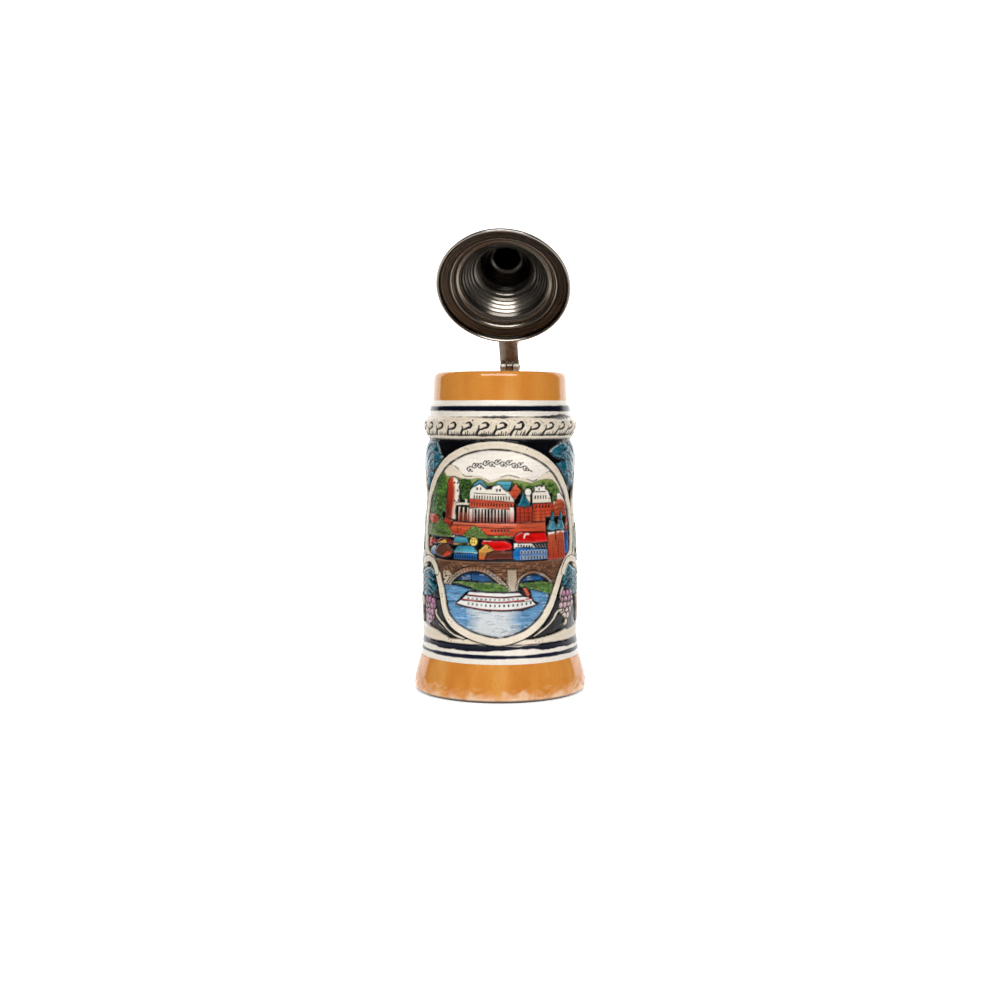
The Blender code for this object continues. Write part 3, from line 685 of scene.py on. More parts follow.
def arch_line(points, out=0.0):
    """An arch's inner edge, moved out from a point below the middle of its chord."""
    middle_u = (points[0][0] + points[-1][0]) / 2
    middle_z = (points[0][1] + points[-1][1]) / 2 - 6
    moved = []
    for u, z in smooth_curve(points):
        reach = math.hypot(u - middle_u, z - middle_z)
        moved.append((u + (u - middle_u) / reach * out, z + (z - middle_z) / reach * out))
    return moved


LEFT_ARCH = [(-26.6, 57.6), (-24.6, 60.2), (-21.4, 62.8), (-17, 64.8), (-12.2, 65.5), (-7.4, 64.4),
             (-3.2, 61.6), (0, 58.8), (2.4, 55.6)]
RIGHT_ARCH = [(9.2, 55.6), (9.5, 59.4), (11, 61.8), (13.8, 63.6), (17.2, 64.2), (21, 63.2), (24.6, 61),
              (27.4, 58.4)]


def bridge(relief, draw):
    """The brick bridge: its deck, an end block, the pier and two arches with their stones."""
    deck = [(-39.5, 70.4), (-20, 70.5), (6, 70.3), (37.4, 70.4), (36, 60), (28, 53), (-28, 53), (-33, 58)]
    relief.lay(polygon(deck), (BRIDGE * 0.85, BRIDGE), -0.75, 0.25, 0.8, 0.6)
    courses(relief, block(-39, 37, 54, 70.2), 0.98, BROWN * 0.3, 0.13, 0.6, 1.9)
    for i in range(520):
        u = draw.uniform(-38, 36)
        z = 54 + 0.98 * draw.integers(1, 16) + 0.1
        brick = block(u, u + draw.uniform(0.9, 1.7), z, z + 0.6)
        relief.swell(brick, 0.06, 0.2, (rgb(168, 122, 92), BRIDGE * 1.5, BROWN * 0.5)[i % 3], 0.6)
    relief.swell(stroke([(-38, 70.1), (0, 70.3), (36, 70.1)], 0.5), 0.25, 0.3, BRIDGE * 1.5, 0.8)
    abutment = [(-32, 64.6), (-28.4, 65.4), (-24.6, 62.6), (-27.2, 57.6), (-30.6, 57.6)]
    relief.lay(polygon(abutment), (STONE * 0.85, CREAM * 0.85), -0.55, 0.2, 0.6, 0.3)
    for i in range(14):
        relief.carve(oval(draw.uniform(-31, -27), draw.uniform(58.5, 64.5), 0.5, 0.26), 0.3, BLACK, 0.9)
    pier = [(3, 53.5), (3.4, 66.5), (8.4, 66.5), (9, 53.5)]
    relief.lay(polygon(pier), (STONE * 0.8, CREAM * 0.9), -0.5, 0.25, 0.8, 0.6)
    courses(relief, polygon(pier), 0.98, SEPIA * 0.5, 0.12, 0.6, 1.5)
    for arch, wide in ((LEFT_ARCH, 2.7), (RIGHT_ARCH, 1.7)):
        ring = arch_line(arch) + arch_line(arch, wide)[::-1]
        relief.lay(polygon(ring), (BRIDGE * 1.3, CREAM * 0.85), -0.5, 0.2, 0.5, 0.75)
        stones = arch_line(arch, wide * 0.5)
        for near, far in zip(arch_line(arch, 0.2)[::2], arch_line(arch, wide - 0.2)[::2]):
            relief.carve(stroke([near, far], 0.3, smooth=False), 0.2, SEPIA * 0.2, 0.8)
        for u, z in stones[1::2]:
            if z < 63.5 and wide > 2:
                relief.carve(oval(u, z, 0.38, 0.32), 0.3, BLACK, 0.9)
        opening = polygon(arch_line(arch) + [(arch[-1][0], 53), (arch[0][0], 53)])
        relief.lay(opening, (DARK_BLUE, WATER * 0.85), -1.25, 0.05, 0.5, 1.0)
        low, high = arch[0][0], arch[-1][0]
        for i in range(30):
            u = draw.uniform(low + 4, high - 6)
            z = draw.uniform(60, 64)
            streak = stroke([(u, z), (u + draw.uniform(1, 3), z + draw.uniform(-0.3, 0.3))], 0.4, 0.2)
            relief.swell(streak, 0.08, 0.3, (PALE_WATER * 0.8, BLUE, DARK_BLUE)[i % 3], 0.7)
        relief.carve(stroke(arch_line(arch, -0.3), 0.7, smooth=False), 0.1, BLACK, 0.7)
    relief.carve(stroke([(-15, 64.6), (-14.8, 60.4)], 0.6), 0.2, DARK_BLUE * 0.5, 0.8)
    for pier_edge in ([(3.6, 66), (4, 54)], [(8.5, 66), (8.6, 54)]):
        relief.carve(stroke(pier_edge, 0.35), 0.2, SEPIA * 0.3, 0.8)


def river(relief, draw):
    """The water, its banks and the pale reflection in the middle."""
    water = [(-33, 58.4), (-26.4, 58), (-20, 57.4), (-14, 56), (4, 55), (10, 56), (18, 56.4), (28, 55.5)]
    relief.lay(polygon(water + [(26, 42), (14, 30), (0, 27), (-20, 32), (-32, 40)]),
               (WATER, WATER * 1.05), -1.0, 0.1, 0.5, 0.4)
    relief.swell(polygon([(-15, 50), (-14, 40), (-16, 33), (-8, 28), (8, 28), (9, 36), (6, 42), (9, 50)],
                         smooth=True), 0, 1, (PALE_WATER, PALE_WATER), 0.85, soft=7)
    for i in range(460):
        u = draw.uniform(-31, 28)
        z = draw.uniform(30, 57)
        middle = math.exp(-(((u + 2) / 11) ** 2)) if z < 50 else 0.15
        light = draw.uniform() < 0.24 + 0.5 * middle
        colour = PALE_WATER if light else (DARK_BLUE, BLUE, WATER * 0.8)[i % 3]
        length = draw.uniform(1.2, 4.5)
        bend = draw.uniform(-0.5, 0.5)
        streak = stroke([(u - length / 2, z), (u, z + bend), (u + length / 2,
                                                              z + draw.uniform(-0.3, 0.3))], 0.55, 0.2)
        strength = 0.4 if light else 0.55 - 0.4 * middle
        relief.swell(streak, 0.1 if light else -0.08, 0.3, colour, strength)
    left = [(-25.8, 59.4), (-21, 60.3), (-16, 60.2), (-10, 59.9), (-4, 60), (2.2, 58.6), (4, 55.2),
            (0, 55), (-6, 55.2), (-11, 56.2), (-16, 57.9), (-21, 58.9)]
    right = [(9.6, 59.4), (14, 59.8), (20, 60), (25, 59.6), (28.4, 58.8), (29.6, 55), (27.4, 53.4),
             (23, 54.6), (18, 56.2), (12, 57)]
    for bank in (left, right):
        relief.lay(polygon(bank, smooth=True), (PALE_GRASS * 0.62, GRASS), -0.8, 0.35, 1.0, 0.5)
        foliage(relief, draw, bank, -0.66, 150, 0.6, (GRASS * 1.15, DARK_GRASS))
    relief.carve(stroke([(-31.5, 50), (-27, 49.7), (-24, 50)], 0.5), 0.15, DARK_BLUE * 0.6, 0.8)


def boat(relief):
    """A white river boat with three decks."""
    shadow = [(-24, 48.6), (-21.5, 50.8), (-17.8, 54.6), (-15.5, 56), (-8, 55.6), (9, 55.6), (14, 55),
              (17, 51), (20.6, 49)]
    relief.lay(polygon(shadow + [(12, 46), (-8, 46)]), BLACK, -0.95, 0.1, 0.5, 0.5)
    relief.lay(polygon([(10.2, 57.5), (12.6, 58.2), (15.6, 55), (16, 51.5), (10, 53.5)]), BLACK, -0.9,
               0.1, 0.5, 0.5)
    funnel = [(11.2, 57.2), (13, 57.6), (15.2, 54.4), (14.6, 52.8), (13.4, 53.2)]
    relief.lay(polygon(funnel), (PALE_BRICK * 0.9, TERRACOTTA * 0.8), -0.5, 0.35, 0.8, 0.8)
    top = [(-17.2, 53.4), (-15.8, 55.2), (-8, 55), (2, 54.7), (9.6, 54.8), (11.4, 53.6)]
    middle = [(-20, 51), (-17.4, 53.6), (-8, 53), (2, 52.6), (11, 53), (16, 52.2), (16.6, 50.6)]
    hull = [(-23.4, 49), (-19.6, 51.4), (-10, 50.8), (0, 50.4), (12, 51), (16.8, 50.4), (18.6, 48.6),
            (10, 46.7), (3, 46.2), (-8, 46.5), (-17, 47.7)]
    relief.lay(polygon(hull), (WHITE, PALE_WATER), -0.6, 0.3, 0.7, 0.7)
    relief.lay(polygon(middle + [(2, 50.2), (-10, 50.6)]), (WHITE, PALE_WATER), -0.55, 0.3, 0.7, 0.5)
    relief.lay(polygon(top + [(2, 52.8), (-8, 53.2)]), (WHITE, PALE_WATER), -0.5, 0.3, 0.7, 0.5)
    red = rgb(168, 24, 28)
    for line in ([(-16.8, 53.7), (-8, 53.2), (2, 52.8), (11, 53.3)],
                 [(-19.8, 51.3), (-10, 50.8), (0, 50.3), (12, 51.2)],
                 [(-23.2, 49), (-17, 47.7), (-8, 46.6), (3, 46.3), (11, 46.9), (18.4, 48.3)],
                 [(13, 51.6), (16, 51.9)]):
        relief.swell(stroke(line, 0.75), 0.12, 0.25, red, 1.0)
    for line in ([(-16.6, 53.2), (-8, 52.7), (2, 52.3), (11, 52.8)],
                 [(-19.6, 50.8), (-10, 50.3), (0, 49.8), (12, 50.7)]):
        relief.carve(stroke(line, 0.3), 0.15, BLACK, 0.45)
    grey = rgb(70, 74, 84)
    for i in range(15):
        u = -16 + 2.25 * i
        sag = 0.004 * (u + 1) ** 2
        relief.carve(block(u - 0.42, u + 0.42, 47.9 + sag, 49.1 + sag), 0.25, grey,
                     0.8 if i % 3 else 0.45)
        if u < 11:
            relief.carve(block(u - 0.5, u + 0.5, 51.2 + sag * 0.5, 52 + sag * 0.5), 0.2, grey, 0.5)


def front_picture(relief, draw):
    """The castle, the town and the river inside the cream ring."""
    sky = polygon(FRONT_RING, smooth=True)
    relief.lay(sky, PALE, SKY, 0.2, 3, 0.3)
    relief.clip = relief.inside(sky)
    hills(relief, draw)
    sky_ornament(relief)
    round_tower(relief)
    palace(relief, draw)
    right_buildings(relief)
    terrace(relief, draw)
    town(relief)
    church(relief)
    bridge(relief, draw)
    river(relief, draw)
    boat(relief)
    relief.clip = None
    ring = stroke(FRONT_RING, 4.0, closed=True)
    relief.lay(ring, CREAM, -0.75, 0.75, 1.0, 0.95)
    for side in (-1, 1):
        relief.lay(stroke(arch_of(side), 3.6), CREAM, -0.75, 0.75, 1.0, 1.0)
        curls(relief, side)
    foot = [(34, 61), (32.3, 56.6), (30.4, 52.6), (28, 48.4), (25.6, 44), (22.6, 40.2), (18.5, 36.6)]
    relief.swell(stroke(foot, 4.4), 0.05, 0.6, CREAM)


# ---------------------------------------------------------------- round the front picture

SIDE_MIDDLE = 78.3  # how far round, in u, the side pictures' middles are
PICTURE_TOP = 131.4  # where the pictures end and the scroll band begins

UPPER_LEAF = {
    1: [(28.6, 124.8), (30.2, 126.6), (33.4, 127.9), (38, 129.3), (44, 128.7), (50, 130), (55, 128),
        (61, 126.4), (58.6, 122), (62.4, 117), (58.4, 113.6), (60, 108), (54.6, 107.6), (52.6, 103),
        (49.4, 106.6), (45.2, 107.6), (42.6, 110.4), (39.8, 113), (37.6, 115), (35.2, 116.8),
        (33.8, 118.8), (36.6, 119.2), (39.4, 120.6), (35.6, 121.2), (31, 122.8)],
    -1: [(-34.2, 121.6), (-36.2, 124), (-37.4, 126.4), (-39.4, 129.7), (-45, 130.1), (-50, 130),
         (-55, 128), (-61, 126.4), (-58.6, 122), (-62.4, 117), (-58.4, 113.6), (-60, 108),
         (-54.6, 107.6), (-52.6, 103), (-49.4, 105.8), (-46.4, 108.6), (-45.6, 111.4), (-42.6, 112.6),
         (-42.8, 115), (-40.6, 116.4), (-37.6, 118.6), (-36.2, 120)],
}
LOWER_LEAF = {
    1: [(38.4, 62.4), (40.4, 66), (43, 67.6), (47, 65.8), (53, 64), (59, 60), (58, 52), (51, 50.6),
        (46, 52.4), (43, 53.6), (39, 55.2), (40, 56.8), (36.6, 56.4), (36, 58), (37.6, 59.6)],
    -1: [(-38.6, 62.8), (-41, 64.6), (-44.4, 65.6), (-50, 65), (-57, 63), (-59, 56), (-55, 50),
         (-48, 49.6), (-42.6, 51.2), (-39.8, 53), (-37.6, 54.8), (-38.2, 57), (-40.6, 58.4),
         (-38.2, 60.2), (-40, 61.4)],
}


def close_leaf(relief, draw, outline, spine, count):
    """A large leaf: light and dark streaks run out and down from its spine; its first teeth carry a pale
    painted highlight.
    """
    shape = polygon(outline)
    relief.lay(shape, (TEAL * 0.9, TEAL * 0.7), GROUND + 0.4, 0.8, 2.4, 0.95)
    relief.clip = relief.inside(shape)
    near_side = 1 if spine[0][0] > outline[0][0] else -1
    # Painted highlight: a pale edge along the first teeth, on the leaf's upper side.
    for tooth in zip(outline[:3], outline[1:4]):
        relief.swell(stroke(tooth, 1.5, 0.9, smooth=False), 0.1, 0.5, PALE * 0.85, 0.7)
    route = smooth_curve(spine)
    for i in range(count):
        u, z = route[draw.integers(0, len(route))]
        side = -near_side if i % 3 else near_side
        start, length, slope = draw.uniform(0.5, 11), draw.uniform(1.5, 5), draw.uniform(0.1, 0.75)
        line = [(u + side * a, z - slope * a + 0.03 * a * a) for a in (start, start + length / 2,
                                                                       start + length)]
        kind = draw.integers(0, 6)
        colour = (PALE_TEAL * 0.8, DEEP_TEAL, TEAL * 1.4, BLACK, TEAL, TEAL * 1.2)[kind]
        rise = (0.12, -0.12, 0.1, -0.16, 0.06, 0.1)[kind]
        relief.swell(stroke(line, draw.uniform(0.8, 1.9), 0.3), rise, 0.6, colour, 0.6)
    relief.swell(stroke(spine, 0.9, 0.5), 0.2, 0.4, PALE_TEAL, 0.6)
    for a in np.arange(0.15, 1, 0.2):
        u, z = route[int(a * len(route))]
        for way in (-1, 1):
            relief.carve(stroke([(u, z), (u + way * 4, z - 1.2), (u + way * 9, z - 5)], 0.8, 0.3), 0.3,
                         BLACK, 0.75)
    relief.clip = None


def arch_of(side):
    """The arch over a lower corner, from the ring outwards."""
    points = [(36.6, 63.8), (38.2, 66.6), (41.2, 69.2), (45, 69.9), (49, 69), (53, 66.8), (58, 62)]
    return mirrored(points, side)


def cartouche(relief, draw, side):
    """The arched frame with a leaf and grapes in a lower corner; side is 1 right and -1 left."""
    post = mirrored([(46.6, 74.5), (48, 79), (49, 90)], side)
    relief.lay(stroke(post, 4.5), CREAM, -0.8, 0.7, 1.2, 0.0)
    close_leaf(relief, draw, LOWER_LEAF[side], mirrored([(46, 64), (46.4, 58), (47, 51)], side), 70)
    if side > 0:
        top, rows, ripe = (41, 52.6), (3, 4, 4, 3, 2, 1), CREAM
    else:
        top, rows, ripe = (-43.6, 48.6), (3, 4, 4, 3, 2), PALE_MAUVE
    grapes(relief, draw, top, rows, 1.95, (MAUVE, ripe * 0.95), -0.2 * side)


def curls(relief, side):
    """The strips that leave the ring and run down beside it, with black between them."""
    if side > 0:
        hollow = [(36.4, 57), (34.6, 52.5), (33.4, 47), (33, 43), (36, 42), (39, 39.4), (38.6, 37.4),
                  (34, 35.2), (28, 34), (21, 32.4), (18.4, 32.4), (24, 37.4), (27.6, 41.4), (30, 45.6),
                  (31.4, 49), (33.4, 53)]
        strips = [([(37, 56), (35.6, 53.6), (34.8, 51), (34.4, 49)], 0.9, 0.5),
                  ([(35.8, 44.6), (33.2, 44.2), (31.6, 42.8), (29.8, 40.4), (26, 37.2), (21.6, 34.5),
                    (18, 32.6)], 1.4, 0.8)]
    else:
        hollow = [(-38.6, 50), (-38.4, 44), (-41, 38), (-46, 36), (-42, 35.3), (-38, 34.6), (-33, 32.8),
                  (-27, 31), (-20, 31), (-24, 33), (-29, 35.6), (-32.2, 39.4), (-33.8, 44), (-34.6, 50)]
        strips = [([(-37.9, 44), (-37.6, 41.6), (-35.8, 39.8), (-32.6, 37.4), (-28.6, 34.6), (-24, 32.4),
                    (-19, 31.3)], 1.3, 1.0), ([(-36, 37), (-33, 35.4), (-31, 34.4)], 0.7, 0.3)]
    relief.lay(polygon(hollow), BLACK, GROUND + 0.1, 0.1, 0.6, 0.8)
    for line, width, end_width in strips:
        relief.lay(stroke(line, width, end_width), CREAM, -0.9, 0.5, 0.6, 0.8)


def upper_corner(relief, draw, side):
    """The large leaf beside the top of the ring."""
    spine = mirrored([(46, 129), (42.5, 124), (42, 118), (46, 108)], side)
    close_leaf(relief, draw, UPPER_LEAF[side], spine, 120)


def tree(relief, draw, u, z, size):
    """A round tree whose trunk stands on (u, z)."""
    relief.lay(stroke([(u, z), (u + 0.2, z + size)], 1.1, 0.7), BROWN * 0.8, -0.7, 0.3, 0.5)
    crown = [(u - size * 0.5, z + size * 0.7), (u - size * 0.4, z + size * 1.4), (u, z + size * 1.8),
             (u + size * 0.4, z + size * 1.4), (u + size * 0.5, z + size * 0.7), (u, z + size * 0.45)]
    relief.lay(polygon(crown, smooth=True), DARK_GRASS, -0.75, 0.5, 1.4)
    foliage(relief, draw, crown, -0.55, round(size * 12), 0.95, (GRASS * 1.15, DARK_GRASS))


def side_landscape(relief, draw, u):
    """What both side pictures share: hills and a meadow, about the picture's middle u."""
    for low, height, colour in ((92, 12, PALE_GRASS * 0.95), (88, 9, OLIVE), (84, 7, GRASS * 0.9)):
        top = [(u + a, low + height * (0.55 + 0.45 * math.sin(a * 0.16 + height)))
               for a in range(-32, 33, 4)]
        relief.lay(polygon(top + [(u + 32, 60), (u - 32, 60)]), (colour, colour * 0.7),
                   SKY + 0.012 * (104 - low), 0.3, 1.2, 0.45)
    meadow = [(u - 30, 74), (u - 12, 72), (u + 8, 73.5), (u + 30, 71), (u + 24, 40), (u, 28),
              (u - 24, 40)]
    relief.lay(polygon(meadow, smooth=True), (GRASS, PALE_GRASS * 0.8), -0.9, 0.25, 1.5, 0.5)
    for i in range(260):
        a, z = draw.uniform(-26, 26), draw.uniform(31, 71)
        blade = stroke([(u + a, z), (u + a + draw.uniform(-0.5, 0.5), z + draw.uniform(0.8, 1.8))], 0.5,
                       0.2)
        relief.swell(blade, 0.12, 0.3, (GRASS, DARK_GRASS, PALE_GRASS * 0.8)[i % 3], 0.7)


def right_picture(relief, draw, u):
    """A village under its church, with a road, vines and ploughed rows."""
    side_landscape(relief, draw, u)
    relief.lay(block(u - 6, u - 1, 76, 98), (PALE, CREAM), -0.75, 0.4, 2)
    relief.lay(polygon([(u - 7, 97.6), (u - 3.5, 112), (u, 97.6)]), (TEAL, TEAL * 0.8), -0.6, 0.5, 2,
               grain="up")
    windows(relief, u - 5, u - 2, 92.5, 95.5, 2)
    relief.carve(oval(u - 3.5, 89.3, 1.1), 0.25, BLACK, 0.8)
    house(relief, u - 2, u + 12, 76, 84, 91, (PALE_BRICK, TERRACOTTA), (PALE, CREAM), -0.75)
    house(relief, u - 22, u - 9, 72, 80, 87, (SCARLET, SCARLET * 0.7), (YELLOW, ORANGE * 0.9), -0.65, 5)
    house(relief, u + 6, u + 21, 70, 77, 84, (PALE_TEAL, TEAL), (PALE_BRICK, TERRACOTTA), -0.6, 5)
    house(relief, u - 10, u + 4, 67, 74, 80, (BROWN, BROWN * 0.8), (WHITE, PALE_WATER), -0.55, 5)
    for a, foot, size in ((-24, 70, 9), (23, 68, 8), (-14, 64, 6)):
        tree(relief, draw, u + a, foot, size)
    road = [(u - 2, 66.5), (u + 2, 58), (u - 4, 49), (u + 2, 38), (u - 4, 30)]
    relief.lay(stroke(road, 2.5, 8), (STONE, CREAM), -0.95, 0.2, 1.5, 0.5)
    for row in range(5):
        for i in range(5):
            vine = u + 9 + 3.1 * i - 0.6 * row
            if vine < u + 23:
                relief.lay(oval(vine, 62 - 4.6 * row, 1.2, 1.5), (GRASS, DARK_GRASS), -0.75, 0.4, 1, 0.6)
    for row in range(4):
        furrow = [(u - 23, 60 - 5 * row), (u - 16, 61 - 5 * row), (u - 8, 59 - 5 * row)]
        relief.carve(stroke(furrow, 0.5), 0.2, BROWN * 0.6, 0.6)


def left_picture(relief, draw, u):
    """A half-timbered inn with barrels before it."""
    side_landscape(relief, draw, u)
    tree(relief, draw, u - 22, 72, 11)
    tree(relief, draw, u + 22, 74, 10)
    wall = block(u - 15, u + 15, 62, 86)
    relief.lay(wall, (PALE, CREAM), -0.7, 0.25, 0.8)
    roof = [(u - 18, 84), (u - 10, 99), (u + 10, 99), (u + 18, 84)]
    relief.lay(polygon(roof), (PALE_BRICK, TERRACOTTA), -0.5, 0.4, 1.5)
    courses(relief, polygon(roof), 1.5, DARK_BRICK * 0.6, 0.12, 0.6)
    peak = [(u - 7, 84), (u, 100), (u + 7, 84)]
    relief.lay(polygon(peak), (PALE, CREAM), -0.35, 0.2, 0.8)
    timber = BROWN * 0.6
    beams = [[(u - 15, z), (u + 15, z)] for z in (62.6, 73.5, 84.4)]
    beams += [[(u + a, 62), (u + a, 85)] for a in (-14.6, -9, -3, 3, 9, 14.6)]
    beams += [[(u + 3 * a, 62), (u + 5 * a, 73)] for a in (-3, 3)]
    beams += [[peak[0], peak[1]], [peak[1], peak[2]], [(u - 4.4, 90), (u + 4.4, 90)], [(u, 84), (u, 99)]]
    for beam in beams:
        relief.lay(stroke(beam, 1.0, smooth=False), timber, -0.4, 0.2, 0.5, 0.6)
    for a in (-12, -6, 6, 12):
        relief.carve(block(u + a - 1.5, u + a + 1.5, 76.5, 81.5), 0.3, DARK_BLUE * 0.6, 0.9)
        relief.carve(block(u + a - 0.15, u + a + 0.15, 76.5, 81.5), -0.25, PALE, 0.9)
        relief.carve(block(u + a - 1.5, u + a + 1.5, 78.8, 79.1), -0.25, PALE, 0.9)
    relief.lay(polygon([(u - 2.4, 61), (u - 2.4, 69), (u, 71), (u + 2.4, 69), (u + 2.4, 61)]),
               (BROWN, BROWN * 0.7), -0.35, 0.2, 0.6)
    for a, z, size in ((-13, 49, 7.5), (9, 44, 9)):
        relief.lay(oval(u + a, z, size, size), (ORANGE * 0.8, BROWN), -0.7, 0.7, size * 0.7, 0.95,
                   grain="up")
        hoop = [(u + a + size * 0.86 * math.cos(t), z + size * 0.86 * math.sin(t))
                for t in np.arange(0, 6.28, 0.4)]
        relief.lay(stroke(hoop, 1.3, closed=True), SEPIA * 0.5, -0.3, 0.25, 0.5, 0.6)
        for stave in np.arange(-0.6, 0.61, 0.2):
            across = u + a + size * 0.76 * stave
            reach = size * 0.74 * math.sqrt(1 - stave**2)
            joint = stroke([(across, z - reach), (across, z + reach)], 0.35, smooth=False)
            relief.carve(joint, 0.2, BROWN * 0.3, 0.7)
    grapes(relief, draw, (u - 3, 47), (3, 4, 3, 2), 1.9, (MAUVE, PALE_MAUVE), level=-1.2)
    leaf(relief, draw, (u - 3, 48.5), 6.5, 60, -1.1)


def side_oval(relief, draw, middle, picture):
    """A picture in an oval cream frame."""
    edge = [(middle + 29.5 * math.sin(t), 79 + 48.6 * math.cos(t)) for t in np.arange(24) * math.pi / 12]
    sky = polygon(edge, smooth=True)
    relief.lay(sky, CREAM, SKY, 0.2, 3, 0.3)
    relief.clip = relief.inside(sky)
    picture(relief, draw, middle)
    relief.clip = None
    relief.lay(stroke(edge, 4.2, closed=True), CREAM, -0.75, 0.75, 1.0, 0.95)


def back_vines(relief, draw, side):
    """The vine between a side picture and the handle."""
    stem = [(103, 36), (108, 50), (106, 66), (112, 82), (109, 98), (113, 112), (108, 124)]
    relief.lay(stroke(mirrored(stem, side), 1.6, 1.0), (OLIVE, BROWN), GROUND + 0.4, 0.6, 0.8)
    for u, z, size, angle in ((108, 52, 10, 150), (107, 64, 10, 20), (113, 84, 9, -30),
                              (110, 98, 11, 160), (111, 112, 11, 40), (104, 38, 9, -60)):
        leaf(relief, draw, (side * u, z), size, angle * side)
    for u, z in ((115, 74), (102.5, 122), (116, 46)):
        grapes(relief, draw, (side * u, z), (3, 3, 2, 2, 1), 1.9, (MAUVE, PALE_MAUVE))


def scroll_band(relief, draw):
    """The engraved band of running curls under the neck."""
    count = 28
    pitch = 2 * HALF_WAY / count
    for i in range(count):
        u = (2 + pitch * i + HALF_WAY) % (2 * HALF_WAY) - HALF_WAY
        jog = draw.normal(0, 0.22, 6)
        hook = [(-1.9, 138.9), (-0.9, 139.3), (0.3, 139.1 + jog[0]), (0.95, 138.2), (0.6, 137.2),
                (-0.6, 136.5 + jog[1]), (-2.2, 136.2), (-3.6, 135.9), (-4.6, 134.9)]
        relief.carve(stroke([(u + a, z) for a, z in hook[:4]], 0.5, 1.6), 0.5, BLACK, 0.97)
        relief.carve(stroke([(u + a, z) for a, z in hook[3:]], 1.5, 0.65), 0.45, BLACK, 0.97)
        wedge = [(u - 3.7 + jog[2], 137.7 + jog[3]), (u - 4, 136.2), (u - 4.9, 134.6), (u - 5.5, 133.5)]
        relief.carve(stroke(wedge, 0.6, 1.7), 0.45, BLACK, 0.97)
        for k, a in enumerate((-2.4, -1.2, 0.0, 1.2, 2.2)):
            tick = [(u + a + jog[k % 3] * 0.6, 134.5 + 2 * jog[k % 4]), (u + a - 0.3, 133.2)]
            relief.carve(stroke(tick, 0.4, 0.85), 0.3, BLACK, 0.9)
        dent = [(u + 1.6, 140.6), (u + 2.6, 139.2), (u + 2.4, 137.4)]
        relief.carve(stroke(dent, 0.9, 0.3), 0.12, SEPIA, 0.12)


def soft_zone(relief, low, high):
    """1 between two heights and 0 beyond them, with a soft change."""
    zone = (relief.Z > low) & (relief.Z < high)
    return blurred(zone.astype(float), (0.5 / relief.step, 0.1))


def decorated_wall():
    """The whole wall, from the black ground up: its pictures, frames, bands and stripes."""
    relief = Relief(WALL_LOW, WALL_HIGH, GRID_STEP)
    draw = np.random.default_rng(11)
    relief.paint[:] = PALE * 0.97 + 0.012 * relief.cloud[..., None]
    pictures = soft_zone(relief, 29.5, PICTURE_TOP)
    relief.height += (GROUND + 0.06 * relief.mottle + 0.015 * relief.fine) * pictures
    relief.paint += (BLACK * (1 + 0.25 * relief.cloud[..., None]) - relief.paint) * pictures[..., None]
    base = []
    for u in np.arange(-126, 127, 3):
        ripple = math.sin(u * 0.11) if u > 40 else 0
        base.append((u, 35.4 + ripple - 4.4 * math.exp(-((u / 36) ** 4))))
    end = HALF_WAY + 3
    cream_base = polygon([(-end, 35.5)] + base + [(end, 35.5), (end, 28.5), (-end, 28.5)])
    relief.lay(cream_base, CREAM, -0.6, 0.5, 2.0, 0.6)
    for side in (-1, 1):
        upper_corner(relief, draw, side)
        back_vines(relief, draw, side)
    for middle, picture in ((SIDE_MIDDLE, right_picture), (-SIDE_MIDDLE, left_picture)):
        side_oval(relief, draw, middle, picture)
    for side in (-1, 1):
        cartouche(relief, draw, side)
    front_picture(relief, draw)
    for u, z in ((18.5, 30.2), (20.4, 29.7), (22.4, 30.3), (-28, 30.3), (-26.5, 29.5), (-42, 68.5),
                 (14, 126.2), (-18.5, 126.7), (-17, 126.2), (-32, 53), (-32, 51.6), (-26, 39.5),
                 (-27.5, 40.5)):
        relief.carve(oval(u, z, 0.4, 0.3), 0.15, SEPIA * 0.4, 0.7)
    band = soft_zone(relief, PICTURE_TOP, 142.2)
    relief.paint += (CREAM - relief.paint) * band[..., None]
    relief.height += 0.05 * relief.fine * band
    scroll_band(relief, draw)
    relief.stripe(141.85, 142.4, BLACK, 0.3, 0.25, 0.92)
    relief.stripe(132.85, 133.4, BLACK, 0.25, 0.25, 0.92)
    relief.height += 0.16 * np.exp(-(((relief.Z - 144.35) / 0.35) ** 2))
    relief.stripe(145.0, 147.7, NAVY * 0.35, 0.06)
    relief.stripe(25.8, 28.5, NAVY * 0.45, 0.28, 0.12)
    relief.stripe(21.8, 23.6, NAVY * 0.7, 0.1)
    relief.fired()
    return relief


# ---------------------------------------------------------------- meshes from grids of points


def grid_mesh(name, points, closed, normals=None, flip=False):
    """A quad mesh over rows x columns points in mm; closed joins the last column to the first."""
    rows, columns = points.shape[:2]
    index = np.arange(rows * columns).reshape(rows, columns)
    right = np.roll(index, -1, axis=1) if closed else index[:, 1:]
    left = index if closed else index[:, :-1]
    faces = np.stack([left[:-1], right[:-1], right[1:], left[1:]], axis=-1).reshape(-1, 4)
    if flip:
        faces = faces[:, ::-1]
    mesh = bpy.data.meshes.new(name)
    mesh.vertices.add(rows * columns)
    mesh.vertices.foreach_set("co", (points.reshape(-1, 3) * MM).astype(np.float32).ravel())
    mesh.loops.add(faces.size)
    mesh.loops.foreach_set("vertex_index", faces.ravel().astype(np.int32))
    mesh.polygons.add(len(faces))
    mesh.polygons.foreach_set("loop_start", np.arange(0, faces.size, 4, dtype=np.int32))
    mesh.update(calc_edges=True)
    mesh.validate()
    mesh.shade_smooth()
    if normals is not None:
        mesh.normals_split_custom_set_from_vertices(normals.reshape(-1, 3).astype(np.float32))
    return mesh


